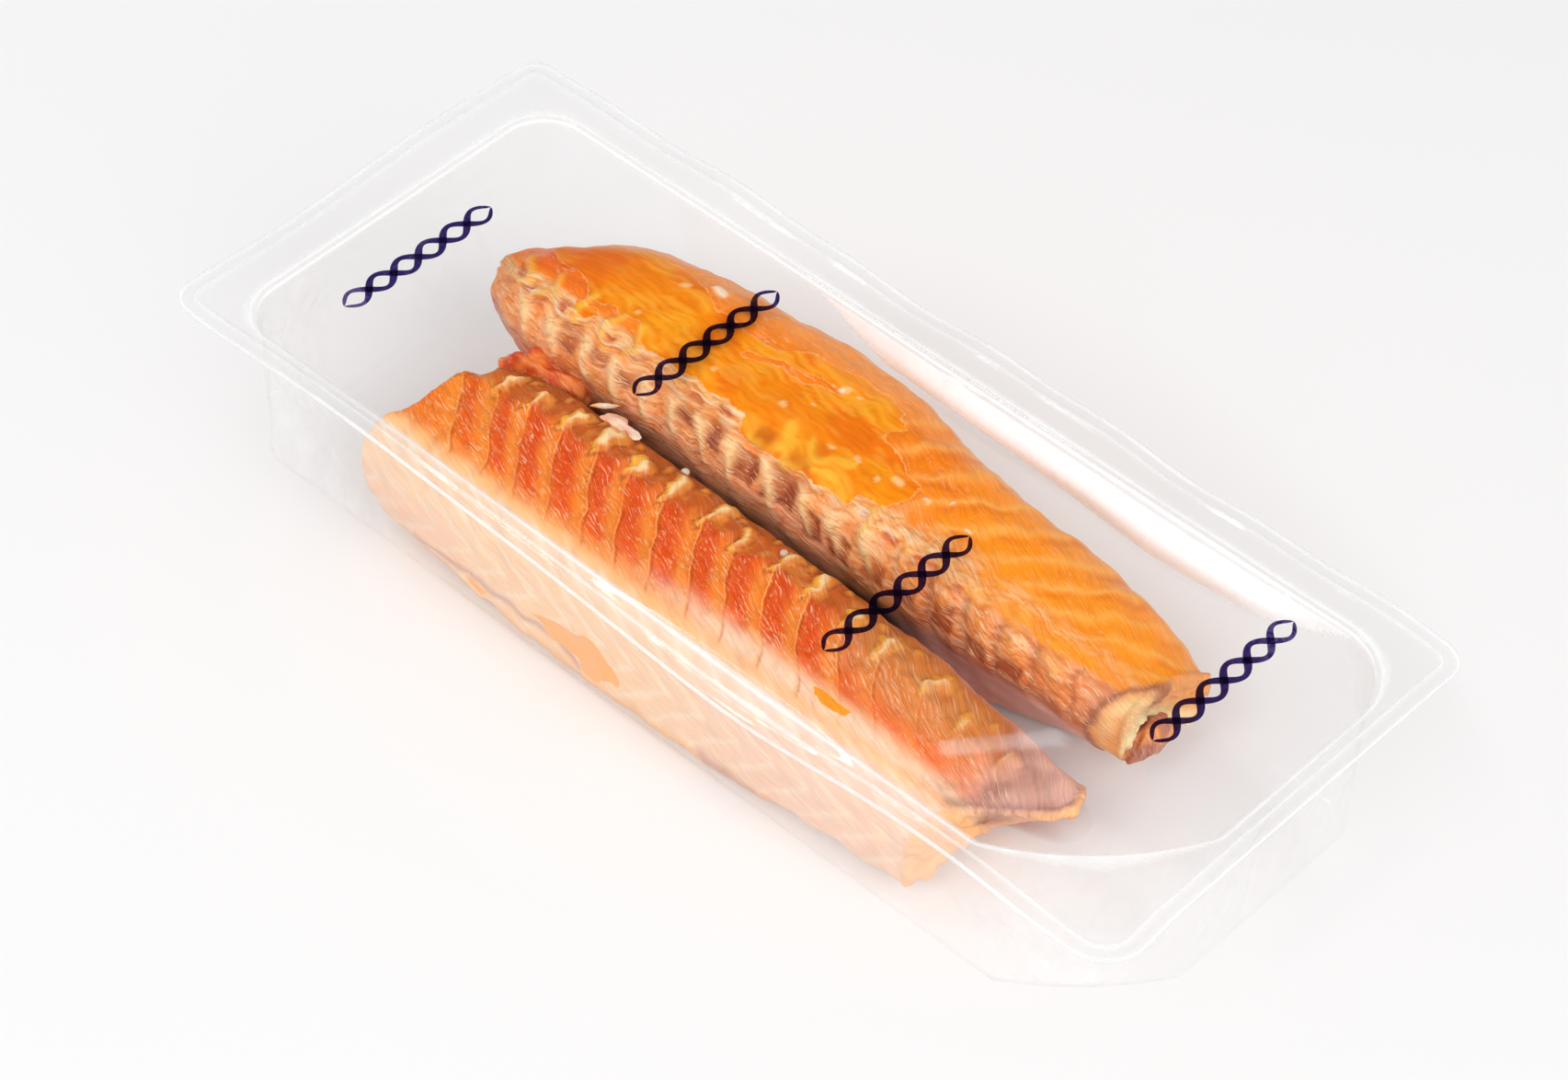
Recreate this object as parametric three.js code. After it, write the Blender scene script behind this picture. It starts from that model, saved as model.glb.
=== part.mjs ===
// A sealed clear tray of two smoked salmon backs.
// Millimetres, +Z up. X runs along the pack, Y across it, and Z = 0 is the underside of the tray.
// The origin is under the middle of the pack's outline.
import * as THREE from 'three';

// ---- Driving dimensions of the pack ----
const PACK_LENGTH = 292.5; // sealed rim, outside
const PACK_WIDTH = 121.5;
const TRAY_HEIGHT = 52; // top of the sealed rim
const FILM_WALL = 0.5; // formed tray film
const LID_FILM = 0.25;
const FILM_GAP = 0.3; // between films that are sealed together, and round the fish

// Cut edge of the rim, mouth of the pocket and floor. The mouth lies off the middle of the rim.
const RIM = {
  left: -PACK_LENGTH / 2,
  right: PACK_LENGTH / 2,
  near: -PACK_WIDTH / 2,
  far: PACK_WIDTH / 2,
};
const RIM_RADII = { farRight: 7, farLeft: 5, nearLeft: 7, nearRight: 11 };
const MOUTH = { left: -131.5, right: 138, near: -52.5, far: 49 };
const MOUTH_RADII = { farRight: 18, farLeft: 12, nearLeft: 12, nearRight: 36, nearRightFlat: 0.6 };
const FLOOR = { left: -134.5, right: 134.5, near: -48.4, far: 45 };
const FLOOR_RADII = { farRight: 9, farLeft: 12, nearLeft: 7, nearRight: 31, nearRightFlat: 0.7 };
const FLOOR_FILLET = 3.2;
const MOUTH_FILLET = 1.6;
const WALL_HEIGHTS = [12, 22, 35]; // rings between the two fillets
const FLOOR_MIDDLE_INSET = 24; // innermost ring of the flat floor

const SEAL_INSET = 3.8; // the seal bead runs this far inside the cut edge
const SEAL_HALF_WIDTH = 1.2;
const SEAL_RISE = 0.45;

const LID_SAG = 1.3; // slack of the lid over the empty ends
const LID_WAVE = 0.25;
const LID_RING_SHARES = [0.4, 0.8]; // rings of the lid between its centre and the mouth

// The soft rim rises and sinks in long waves along its near edge.
const NEAR_EDGE_WAVES = [
  { x: -88, height: 2.2, reach: 34 },
  { x: 4, height: -2.0, reach: 42 },
  { x: 92, height: 0.6, reach: 26 },
];
const FAR_EDGE_WAVES = [
  { height: 0.7, pitch: 15, shift: 0 },
  { height: 0.5, pitch: 6.5, shift: 1 },
];
const LEFT_EDGE_WAVE = { height: 0.8, pitch: 13 };

// The near right corner of the rim hangs down beyond a slanting crease.
const CORNER_CREASE = { x: 114, y: -49, slopeX: 0.42, slopeY: 0.9, offset: 3 };
const CORNER_HANG = 1.6;

// Dents of the soft wall: place on the pocket, depth inwards and reach.
const WALL_DENTS = [
  { x: -114, y: -49, z: 20, depth: 4.2, reach: 9 },
  { x: -128, y: -38, z: 10, depth: 2.6, reach: 9 },
  { x: 103, y: -47, z: 12, depth: 3.0, reach: 9 },
  { x: 128, y: -24, z: 8, depth: 3.2, reach: 8 },
  { x: 137, y: 6, z: 26, depth: 1.6, reach: 10 },
  { x: -60, y: 47, z: 28, depth: 1.2, reach: 16 },
  { x: 70, y: 47, z: 30, depth: 2.0, reach: 22 },
];
const WALL_RIPPLE = { height: 0.35, pitch: 3.1 }; // upright ripples of the two short walls

// ---- Driving dimensions of the salmon backs ----
const VERTEBRA_PITCH = 10.8;
const KNUCKLE_RISE = 1.9; // ends of the neural spines along the near back
const FIRST_SPINE = -81; // x of the leftmost of them
const MYOMERE_GROOVE = 0.8; // lines between the muscle blocks
const RAGGED_EDGE = 0.9; // unevenness of the near back's cut lower edge
const PANEL_BORDER = 0.7; // ridges between the vertebra panels of the far back
const CREASE_DEPTH = 1.3;
const FLESH_HOLLOWS = 0.45;
const FISH_TOP = TRAY_HEIGHT - 0.2;
const FISH_FLOOR = FILM_WALL + 0.35;

// ---- Resolution ----
const CORNER_STEPS = 6;
const LONG_STEPS = 14;
const SHORT_STEPS = 6;
const FISH_STATIONS = 56;
const STEPS_PER_RAIL = 3;

const mix = THREE.MathUtils.lerp;
const smoothstep = THREE.MathUtils.smoothstep;
const bump = (distance, width) => Math.exp(-((distance / width) ** 2));
const sumOf = (list, value) => list.reduce((sum, item) => sum + value(item), 0);

// Smooth, repeatable unevenness between -1 and 1.
function unevenness(a, b) {
  return (
    0.5 * Math.sin(1.7 * a + 0.9 * Math.sin(0.8 * b) + 0.4) +
    0.3 * Math.sin(3.1 * b - 1.3 * a + 1.9) +
    0.2 * Math.sin(5.3 * a + 2.3 * b + 0.7)
  );
}

// ---- Closed meshes from stacked rings ----
// rings: arrays of Vector3, all of one count, from the first pole to the last pole.
// Each four-sided face is split along its shorter diagonal, so that two films of one form
// keep one gap all over.
function loftSolid(firstPole, rings, lastPole) {
  const count = rings[0].length;
  const points = [firstPole, ...rings.flat(), lastPole];
  const positions = points.flatMap((p) => [p.x, p.y, p.z]);
  const indices = [];
  const quad = (a, b, c, d) => {
    const alongBD = points[b].distanceTo(points[d]) < points[a].distanceTo(points[c]);
    indices.push(...(alongBD ? [a, b, d, b, c, d] : [a, b, c, a, c, d]));
  };
  const at = (ring, k) => 1 + ring * count + (k % count);
  const last = 1 + rings.length * count;
  for (let k = 0; k < count; k += 1) {
    indices.push(0, at(0, k), at(0, k + 1));
    for (let ring = 0; ring + 1 < rings.length; ring += 1) {
      quad(at(ring, k), at(ring + 1, k), at(ring + 1, k + 1), at(ring, k + 1));
    }
    indices.push(last, at(rings.length - 1, k + 1), at(rings.length - 1, k));
  }
  const geometry = new THREE.BufferGeometry();
  geometry.setAttribute('position', new THREE.Float32BufferAttribute(positions, 3));
  geometry.setIndex(indices);
  geometry.computeVertexNormals();
  return geometry;
}

// ---- Outlines of the pack ----
// A rounded rectangle as points with outward normals, clockwise seen from above.
// grow > 0 moves the outline outwards. nearRightFlat draws that corner's arc towards its chord.
function roundedOutline(box, radii, grow = 0) {
  const { nearRightFlat = 0 } = radii;
  const corners = [
    { x: box.right + grow, y: box.far + grow, sx: 1, sy: 1, r: radii.farRight, from: 90 },
    { x: box.right + grow, y: box.near - grow, sx: 1, sy: -1, r: radii.nearRight, from: 0 },
    { x: box.left - grow, y: box.near - grow, sx: -1, sy: -1, r: radii.nearLeft, from: -90 },
    { x: box.left - grow, y: box.far + grow, sx: -1, sy: 1, r: radii.farLeft, from: -180 },
  ];
  const arcs = corners.map(({ x, y, sx, sy, r, from }, c) => {
    const radius = Math.max(r + grow, 0.6);
    const centre = new THREE.Vector2(x - sx * radius, y - sy * radius);
    const arc = Array.from({ length: CORNER_STEPS + 1 }, (_, k) => {
      const angle = THREE.MathUtils.degToRad(from - (90 * k) / CORNER_STEPS);
      const normal = new THREE.Vector2(Math.cos(angle), Math.sin(angle));
      return { at: centre.clone().addScaledVector(normal, radius), normal };
    });
    if (c !== 1) return arc;
    const [first, last] = [arc[0].at.clone(), arc[CORNER_STEPS].at.clone()];
    arc.forEach(({ at }, k) => at.lerp(first.clone().lerp(last, k / CORNER_STEPS), nearRightFlat));
    return arc;
  });
  const sides = [SHORT_STEPS, LONG_STEPS, SHORT_STEPS, LONG_STEPS];
  return arcs.flatMap((arc, c) => {
    const start = arc[CORNER_STEPS];
    const end = arcs[(c + 1) % 4][0];
    const side = Array.from({ length: sides[c] - 1 }, (_, k) => ({
      at: start.at.clone().lerp(end.at, (k + 1) / sides[c]),
      normal: start.normal.clone(),
    }));
    return [...arc, ...side];
  });
}

// How far the rim bends up or down. The waves fade out towards the mouth.
function rimLift(x, y) {
  const nearEdge = smoothstep(-y, -MOUTH.near - 2.5, -RIM.near - 0.75);
  const farEdge = smoothstep(y, MOUTH.far - 1, RIM.far - 0.75);
  const leftEdge = smoothstep(-x, -MOUTH.left + 0.5, -RIM.left);
  const nearWave = sumOf(NEAR_EDGE_WAVES, (w) => w.height * bump(x - w.x, w.reach));
  const farWave = sumOf(FAR_EDGE_WAVES, (w) => w.height * Math.sin(x / w.pitch + w.shift));
  const leftWave = LEFT_EDGE_WAVE.height * Math.sin(y / LEFT_EDGE_WAVE.pitch);
  const c = CORNER_CREASE;
  const beyondCrease = (x - c.x) * c.slopeX - (y - c.y) * c.slopeY - c.offset;
  const hang = CORNER_HANG * smoothstep(beyondCrease, 0, 13) * smoothstep(x, 88, 112);
  return nearEdge * nearWave + farEdge * farWave + leftEdge * leftWave - hang;
}

// How far the wall of the pocket stands inwards of its plain form.
function wallDent(x, y, z) {
  const dents = sumOf(WALL_DENTS, (d) => {
    const distance = Math.hypot(x - d.x, y - d.y, z - d.z);
    return d.depth * bump(distance, d.reach);
  });
  const midHeight = Math.sin((Math.PI * THREE.MathUtils.clamp(z, 0, TRAY_HEIGHT)) / TRAY_HEIGHT);
  const atEnds = smoothstep(Math.abs(x), 100, 130);
  return dents + WALL_RIPPLE.height * midHeight * atEnds * Math.sin(y / WALL_RIPPLE.pitch);
}

// A ring of the pocket's wall: f = 0 at the floor, 1 at the mouth.
function wallRing(f, z, grow) {
  const floor = roundedOutline(FLOOR, FLOOR_RADII, grow);
  const mouth = roundedOutline(MOUTH, MOUTH_RADII, grow);
  return floor.map(({ at, normal }, k) => {
    const x = mix(at.x, mouth[k].at.x, f);
    const y = mix(at.y, mouth[k].at.y, f);
    const dent = wallDent(x, y, z) * smoothstep(z, 0.5, 5);
    return new THREE.Vector3(x - normal.x * dent, y - normal.y * dent, z);
  });
}

// A ring that follows the bent rim, at the height z above its plain form.
const rimRing = (outline, z) =>
  outline.map(({ at }) => new THREE.Vector3(at.x, at.y, z + rimLift(at.x, at.y)));

// The inner face of the long walls, with the gap that the fish keeps to it.
function wallFace(side, x, z) {
  const [low, high] = side > 0 ? [FLOOR.far, MOUTH.far] : [FLOOR.near, MOUTH.near];
  const face = mix(low, high, THREE.MathUtils.clamp(z / TRAY_HEIGHT, 0, 1));
  const overFillet = Math.min(z - FILM_WALL, FLOOR_FILLET) - FLOOR_FILLET;
  const fillet = FLOOR_FILLET - Math.sqrt(FLOOR_FILLET ** 2 - overFillet ** 2);
  return face - side * (FILM_WALL + FILM_GAP + fillet + wallDent(x, face, z));
}

const flatRing = (grow, z) =>
  roundedOutline(FLOOR, FLOOR_RADII, grow).map(({ at }) => new THREE.Vector3(at.x, at.y, z));

// The rim from the mouth to the cut edge, with the seal bead a little inside that edge.
function sealedRim(z) {
  return [
    rimRing(roundedOutline(MOUTH, MOUTH_RADII, MOUTH_FILLET), z),
    rimRing(roundedOutline(RIM, RIM_RADII, -SEAL_INSET - SEAL_HALF_WIDTH), z),
    rimRing(roundedOutline(RIM, RIM_RADII, -SEAL_INSET), z + SEAL_RISE),
    rimRing(roundedOutline(RIM, RIM_RADII, -SEAL_INSET + SEAL_HALF_WIDTH), z),
    rimRing(roundedOutline(RIM, RIM_RADII), z),
  ];
}

// ---- Tray: formed film pocket with a flat rim ----
function trayGeometry() {
  const under = TRAY_HEIGHT - FILM_WALL;
  const heights = [FLOOR_FILLET, ...WALL_HEIGHTS, TRAY_HEIGHT - MOUTH_FILLET - FILM_WALL];
  const share = (z) => (z - FLOOR_FILLET) / (TRAY_HEIGHT - FLOOR_FILLET);
  const halfWay = 0.3 * FLOOR_FILLET; // a point half way round the floor's fillet
  const outside = [
    flatRing(-FLOOR_MIDDLE_INSET, 0),
    flatRing(-FLOOR_FILLET, 0),
    flatRing(-halfWay, halfWay),
    ...heights.map((z) => wallRing(share(z), z, 0)),
    ...sealedRim(under),
  ];
  const inside = [
    ...sealedRim(TRAY_HEIGHT).reverse(),
    ...heights.map((z) => wallRing(share(z), z + 0.3 * FILM_WALL, -FILM_WALL)).reverse(),
    flatRing(-halfWay - FILM_WALL, halfWay + 0.6 * FILM_WALL),
    flatRing(-FLOOR_FILLET - 0.3 * FILM_WALL, FILM_WALL),
    flatRing(-FLOOR_MIDDLE_INSET, FILM_WALL),
  ];
  const centre = new THREE.Vector3((FLOOR.left + FLOOR.right) / 2, 0, 0);
  const top = centre.clone().setZ(FILM_WALL);
  return loftSolid(centre, [...outside, ...inside], top);
}

// ---- Lid: film sealed on the rim, drawn flat over the fish and slack over the ends ----
const MOUTH_CENTRE = new THREE.Vector2((MOUTH.left + MOUTH.right) / 2, (MOUTH.near + MOUTH.far) / 2);
const MOUTH_HALF = new THREE.Vector2((MOUTH.right - MOUTH.left) / 2, (MOUTH.far - MOUTH.near) / 2);

function lidRise(x, y) {
  const away = new THREE.Vector2(x, y).sub(MOUTH_CENTRE);
  const overEnds = smoothstep(Math.abs(away.x), 88, 122);
  const acrossMouth = 1 - smoothstep(away.divide(MOUTH_HALF).length(), 0.62, 1);
  return acrossMouth * (LID_WAVE * unevenness(x / 22, y / 17) - LID_SAG * overEnds);
}

function lidGeometry() {
  const acrossMouth = (share, z) =>
    roundedOutline(MOUTH, MOUTH_RADII, MOUTH_FILLET).map(({ at }) => {
      const p = MOUTH_CENTRE.clone().lerp(at, share);
      return new THREE.Vector3(p.x, p.y, z + lidRise(p.x, p.y));
    });
  const bottom = TRAY_HEIGHT + FILM_GAP;
  const top = bottom + LID_FILM;
  const centre = acrossMouth(0, bottom)[0];
  const rings = [
    ...LID_RING_SHARES.map((share) => acrossMouth(share, bottom)),
    ...sealedRim(bottom),
    ...sealedRim(top).reverse(),
    ...LID_RING_SHARES.map((share) => acrossMouth(share, top)).reverse(),
  ];
  return loftSolid(centre, rings, centre.clone().setZ(centre.z + LID_FILM));
}

// ---- Salmon backs: lofts over rails that run along the fish ----
// rails: a few [x, y, z] for each line round the section, from the foot at the middle of the
// pack up over the back and down its outer side. turn is 1 where that runs clockwise seen from
// the right end, and -1 where it runs the other way.
// relief(x, v) is how far the surface stands out at x, on the rail coordinate v.
// caps: { scale, out } steps that close each end.
function salmonBack({ rails, turn, relief, startCap, endCap }) {
  const curves = rails.map(
    (rail) => new THREE.CatmullRomCurve3(rail.map(([x, y, z]) => new THREE.Vector3(x, y, z))),
  );
  const ringSize = rails.length * STEPS_PER_RAIL;
  const ringAt = (t) => {
    const section = new THREE.CatmullRomCurve3(curves.map((c) => c.getPointAt(t)), true, 'centripetal');
    return Array.from({ length: ringSize }, (_, k) => {
      const u = k / ringSize;
      const p = section.getPoint(u);
      const tangent = section.getTangent(u);
      const normal = new THREE.Vector3(0, -tangent.z, tangent.y).normalize().multiplyScalar(turn);
      const v = k / STEPS_PER_RAIL;
      p.addScaledVector(normal, relief(p.x, v));
      p.z = THREE.MathUtils.clamp(p.z, FISH_FLOOR, FISH_TOP);
      p.y = THREE.MathUtils.clamp(p.y, wallFace(-1, p.x, p.z), wallFace(1, p.x, p.z));
      return p;
    });
  };
  const rings = Array.from({ length: FISH_STATIONS + 1 }, (_, k) => ringAt(k / FISH_STATIONS));
  const capRings = (ring, steps, side) => {
    const centre = ring.reduce((sum, p) => sum.add(p), new THREE.Vector3()).divideScalar(ring.length);
    const made = steps.map(({ scale, out }) =>
      ring.map((p) => {
        const q = centre.clone().lerp(p, scale);
        q.x += side * out;
        q.z = Math.max(q.z, FISH_FLOOR);
        return q;
      }),
    );
    const pole = centre.clone();
    pole.x += side * (steps.at(-1).out + 0.1);
    return { made, pole };
  };
  const start = capRings(rings[0], startCap, -1);
  const end = capRings(rings.at(-1), endCap, 1);
  const all = [...start.made.reverse(), ...rings, ...end.made];
  if (turn < 0) all.forEach((ring) => ring.reverse());
  return loftSolid(start.pole, all, end.pole);
}

// A narrow groove that repeats along x with the vertebrae: 1 on the line, 0 between lines.
function repeatedLine(x, width) {
  const phase = x / VERTEBRA_PITCH - Math.round(x / VERTEBRA_PITCH);
  return bump(phase * VERTEBRA_PITCH, width);
}

// The far back lies on its cut side: a steep backbone side with vertebra panels faces the near
// back, a crease and a wrinkled strip run above it, and the flank fills the pack up to the lid.
const FAR_RAILS = [
  // 0: foot of the backbone side
  [
    [-97, 15, 1], [-86, 8, 1], [-42, 3, 1], [-7, 3, 1],
    [24, 5, 1], [48, 13, 1], [68, 20, 1.5],
  ],
  // 1: backbone side, low
  [
    [-101, 9, 18], [-88, 4, 18], [-42, 1, 18], [-7, 0.5, 18],
    [28, 1, 20], [58, 4, 21.5], [86, 8, 19],
  ],
  // 2: backbone side, high
  [
    [-106, 6, 33], [-92, 0, 35], [-42, -1.5, 37], [-7, -2, 38],
    [28, -1.5, 37], [58, -1, 34], [79, 0.5, 31], [95, 3, 27],
  ],
  // 3: upper edge of the backbone side
  [
    [-107, 8, 38.5], [-92, 3.5, 43], [-42, 2, 46], [-7, 2, 46.5],
    [28, 2, 45], [58, 2, 41.5], [79, 3, 38.5], [94.5, 5, 34.5],
  ],
  // 4: crease
  [
    [-107.5, 13, 41], [-93, 9, 46.5], [-42, 8, 50], [-7, 8.5, 50.3],
    [28, 8, 48.5], [58, 8, 45], [79, 8.5, 42], [94, 10, 38],
  ],
  // 5: wrinkled strip and top against the lid
  [
    [-104, 20, 41.5], [-93, 19, 47.5], [-69, 20, 50.4], [-7, 21, 51.2],
    [28, 19, 50], [58, 18, 46.5], [79, 18, 43], [94, 18, 38.5],
  ],
  // 6: top towards the flank
  [
    [-102, 26, 39], [-91, 28, 45], [-69, 32, 49.5], [-7, 35, 50.6],
    [28, 30, 49], [58, 27.5, 45.5], [79, 27, 42], [95, 25.5, 36.5],
  ],
  // 7: shoulder
  [
    [-98, 31, 36], [-88, 38.5, 38.5], [-69, 41.5, 42], [-42, 43.6, 43], [-7, 44.5, 44],
    [28, 38, 42], [58, 36.8, 39.5], [79, 35, 37], [96, 31.5, 32],
  ],
  // 8: flank
  [
    [-97, 28, 17], [-87, 35, 18], [-69, 40, 18], [-42, 42.2, 18], [-7, 42.6, 18],
    [28, 38, 18], [58, 36, 18], [79, 34, 18], [95, 28, 19.5],
  ],
  // 9: foot of the flank
  [
    [-91, 23, 2], [-82, 31, 1.2], [-67, 36, 1], [-42, 39, 1],
    [-7, 40, 1], [28, 37, 1], [58, 34, 1], [77, 27, 3],
  ],
  // 10: middle of the underside
  [
    [-89, 18, 1], [-42, 20, 1], [-7, 21, 1],
    [28, 21, 1], [50, 22, 1], [73, 23, 1.5],
  ],
];

// v counts the rails: 2.3 is a little above rail 2.
function farRelief(x, v) {
  const panelBorder = PANEL_BORDER * repeatedLine(x + 4 - 1.2 * (v - 2.3), 1.8) * bump(v - 2.3, 0.7);
  const crease = CREASE_DEPTH * bump(v - 3, 0.3) * (1 - smoothstep(x, -20, 12));
  const tailHalf = smoothstep(x, -12, 20);
  const knuckles = 0.7 * KNUCKLE_RISE * repeatedLine(x - 3, 3) * bump(v - 3.4, 0.8) * tailHalf;
  const flankLine = x + 9 * (v - 5.6) ** 2 - 5;
  const flankGroove = 0.6 * MYOMERE_GROOVE * repeatedLine(flankLine, 1.7) * bump(v - 5.8, 1.1);
  const offTheFloor = smoothstep(v, 0.6, 1.4) * (1 - smoothstep(v, 8.4, 9));
  const hollows = FLESH_HOLLOWS * unevenness(x / 7.5, 1.6 * v) * offTheFloor;
  return panelBorder - crease + knuckles - flankGroove + hollows;
}

// The near back leans on the near wall: a row of spine ends along its crest, slanting muscle
// blocks below it, a soft shoulder against the film and a ragged lower edge.
const NEAR_RAILS = [
  // 0: foot beside the seam
  [
    [-81, -13, 1], [-42, -8, 1], [28, -7, 1], [50, -9, 1], [70, -13, 2],
  ],
  // 1: inner side, low
  [
    [-83, -11, 20], [-42, -6, 20], [28, -6, 20],
    [53, -7, 19], [72, -9, 17], [84, -11, 16],
  ],
  // 2: inner side, high
  [
    [-83, -10, 36], [-72, -8.5, 38], [-42, -8, 39], [-7, -8.5, 39],
    [28, -9, 38.5], [53, -9, 36.5], [78, -10, 33], [95, -9.5, 27.5],
  ],
  // 3: crest with the spine ends
  [
    [-83, -14.5, 38], [-72, -15.5, 39.5], [-42, -15.5, 40.5], [-7, -16, 40.5],
    [28, -17, 40], [53, -17, 37.5], [78, -16.5, 34.3], [98.5, -16, 28.5],
  ],
  // 4: below the crest
  [
    [-90, -21.5, 37.5], [-75, -24, 38.5], [-42, -24, 39.5], [-7, -24.5, 39.5],
    [28, -25, 39], [51, -25, 36], [76, -25, 33], [92, -23.5, 28.5],
  ],
  // 5: slope of the muscle blocks
  [
    [-91, -32, 35.5], [-77, -33, 36.5], [-42, -34, 37], [-7, -34.5, 37],
    [25, -34.5, 36], [49, -34, 34], [66, -34, 31], [79, -33, 27],
  ],
  // 6: shoulder at the near wall
  [
    [-98, -41, 30], [-79, -43, 31], [-42, -44, 31], [-7, -44.5, 31],
    [23, -44.5, 30], [45, -43.5, 28], [62, -43, 25.5], [73.5, -42, 22.5],
  ],
  // 7: side against the wall
  [
    [-100, -45, 16], [-81, -46.7, 14], [-42, -47.3, 13], [-7, -47.3, 13],
    [23, -47, 13], [43, -46.6, 13], [59, -46, 13], [73, -44.5, 13.5],
  ],
  // 8: ragged lower edge
  [
    [-90, -43, 3.5], [-77, -44, 4], [-47, -46, 1.8], [-7, -46.4, 1],
    [23, -45.6, 1.5], [43, -44.5, 4], [59, -44, 5.2], [73.5, -44.3, 5.6],
  ],
  // 9: middle of the underside
  [
    [-85, -29, 1.5], [-72, -29, 1], [-42, -29, 1], [-7, -29, 1],
    [35, -29, 1], [52, -29, 1.2], [66, -30, 2],
  ],
];

function nearRelief(x, v) {
  const along = x - FIRST_SPINE;
  const wholeEnd = 1 - smoothstep(x, 38, 62); // the spine ends fade out towards the tail end
  const knuckles = KNUCKLE_RISE * repeatedLine(along, 2.9) * bump(v - 3, 0.42) * wholeEnd;
  const onSlope = smoothstep(v, 3.1, 3.6) * (1 - smoothstep(v, 5.9, 6.4));
  const ribs = repeatedLine(along - 5 * (v - 3.2), 1.5) * onSlope * (0.4 + 0.6 * wholeEnd);
  const onSide = smoothstep(v, 6.0, 6.6) * (1 - smoothstep(v, 7.5, 8.1));
  const zigzag = 0.5 * repeatedLine(along + 7 * Math.abs(v - 7) - 12, 1.7) * onSide;
  const ragged = RAGGED_EDGE * unevenness(x / 4.2, 2.0) * bump(v - 8, 0.35);
  const offTheFloor = smoothstep(v, 0.6, 1.4) * (1 - smoothstep(v, 7.6, 8.4));
  const hollows = FLESH_HOLLOWS * unevenness(x / 6.5, 1.7 * v) * (1 - onSide) * offTheFloor;
  return knuckles - MYOMERE_GROOVE * (ribs + zigzag) + ragged + hollows;
}

// ---- The pack as a scene graph ----
const clearFilm = (color, opacity) =>
  new THREE.MeshStandardMaterial({ color, roughness: 0.08, metalness: 0, transparent: true, opacity });
const smokedSalmon = (color) => new THREE.MeshStandardMaterial({ color, roughness: 0.38, metalness: 0 });

function named(name, geometry, material) {
  const mesh = new THREE.Mesh(geometry, material);
  mesh.name = name;
  return mesh;
}

// The far back has a rounded left end and a flat cut at the right; the near one is cut at both.
const farBack = salmonBack({
  rails: FAR_RAILS,
  turn: 1,
  relief: farRelief,
  startCap: [{ scale: 0.93, out: 2.2 }, { scale: 0.74, out: 4.2 }, { scale: 0.4, out: 5.4 }],
  endCap: [{ scale: 0.95, out: 0.9 }, { scale: 0.66, out: 0.9 }, { scale: 0.3, out: 0.1 }],
});
const nearBack = salmonBack({
  rails: NEAR_RAILS,
  turn: -1,
  relief: nearRelief,
  startCap: [{ scale: 0.95, out: 1.2 }, { scale: 0.7, out: 1.8 }, { scale: 0.35, out: 1.4 }],
  endCap: [{ scale: 0.95, out: 0.7 }, { scale: 0.68, out: 1.1 }, { scale: 0.3, out: 1.0 }],
});

const pack = new THREE.Group();
pack.name = 'salmon_pack';
pack.add(
  named('tray', trayGeometry(), clearFilm('#eef0ef', 0.3)),
  named('lid_film', lidGeometry(), clearFilm('#f4f5f4', 0.2)),
  named('salmon_back_far', farBack, smokedSalmon('#e2832c')),
  named('salmon_back_near', nearBack, smokedSalmon('#d4622a')),
);

export default pack;
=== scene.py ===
import math

import bpy
import numpy as np
from mathutils import Matrix, Vector, noise


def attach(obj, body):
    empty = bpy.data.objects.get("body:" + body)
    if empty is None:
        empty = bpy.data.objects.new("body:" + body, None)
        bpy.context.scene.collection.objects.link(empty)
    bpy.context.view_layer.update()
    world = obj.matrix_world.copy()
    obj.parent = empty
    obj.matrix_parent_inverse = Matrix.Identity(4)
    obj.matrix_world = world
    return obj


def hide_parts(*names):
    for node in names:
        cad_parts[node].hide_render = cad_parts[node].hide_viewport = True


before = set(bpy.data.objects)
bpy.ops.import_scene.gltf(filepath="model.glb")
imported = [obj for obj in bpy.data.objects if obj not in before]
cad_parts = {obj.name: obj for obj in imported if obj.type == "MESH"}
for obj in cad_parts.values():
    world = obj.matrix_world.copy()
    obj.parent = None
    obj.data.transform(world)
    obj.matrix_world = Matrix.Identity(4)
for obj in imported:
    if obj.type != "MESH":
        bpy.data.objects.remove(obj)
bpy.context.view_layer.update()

# ==== Tray ====
# The bottom half of the pack: clear film drawn warm into a deep pocket with a flat rim.
# The film is thin and springy, so its rim waves, its walls are dented where the pack was
# gripped, and its corners are crumpled.
MM = 0.001
RIM = {"left": -146.25, "right": 146.25, "near": -60.75, "far": 60.75}
RIM_RADII = {"far_right": 7, "far_left": 5, "near_left": 7, "near_right": 11}
MOUTH = {"left": -131.5, "right": 138, "near": -52.5, "far": 49}
MOUTH_RADII = {"far_right": 18, "far_left": 12, "near_left": 12, "near_right": 36, "flat": 0.6}
FLOOR = {"left": -134.5, "right": 134.5, "near": -48.4, "far": 45}
FLOOR_RADII = {"far_right": 9, "far_left": 12, "near_left": 7, "near_right": 31, "flat": 0.7}
RIM_TOP = 52.0
WALL = 0.5  # of the CAD solid, which the film runs in the middle of
FILM = 0.3
FLOOR_FILLET = 3.2
MOUTH_FILLET = 1.6
RIM_BEND = 5  # the outline of the rim is the cut edge's from here outwards, and blends inwards
SEAL_INSET = 3.8  # of the bead that the sealing bar leaves
SEAL_RISE = 0.45
SEAL_WIDTH = 0.6
FAR_SAG = 3.4  # how far the slack far wall hangs inwards below the mouth
FLOOR_RINGS = 28
CORE = 38  # half the points of the line that the innermost ring closes on
NEAR_WAVES = ((-88, 2.2, 34), (-5, -1.0, 25), (36, -5.0, 34), (92, 0.6, 26))  # x, height, reach
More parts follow.
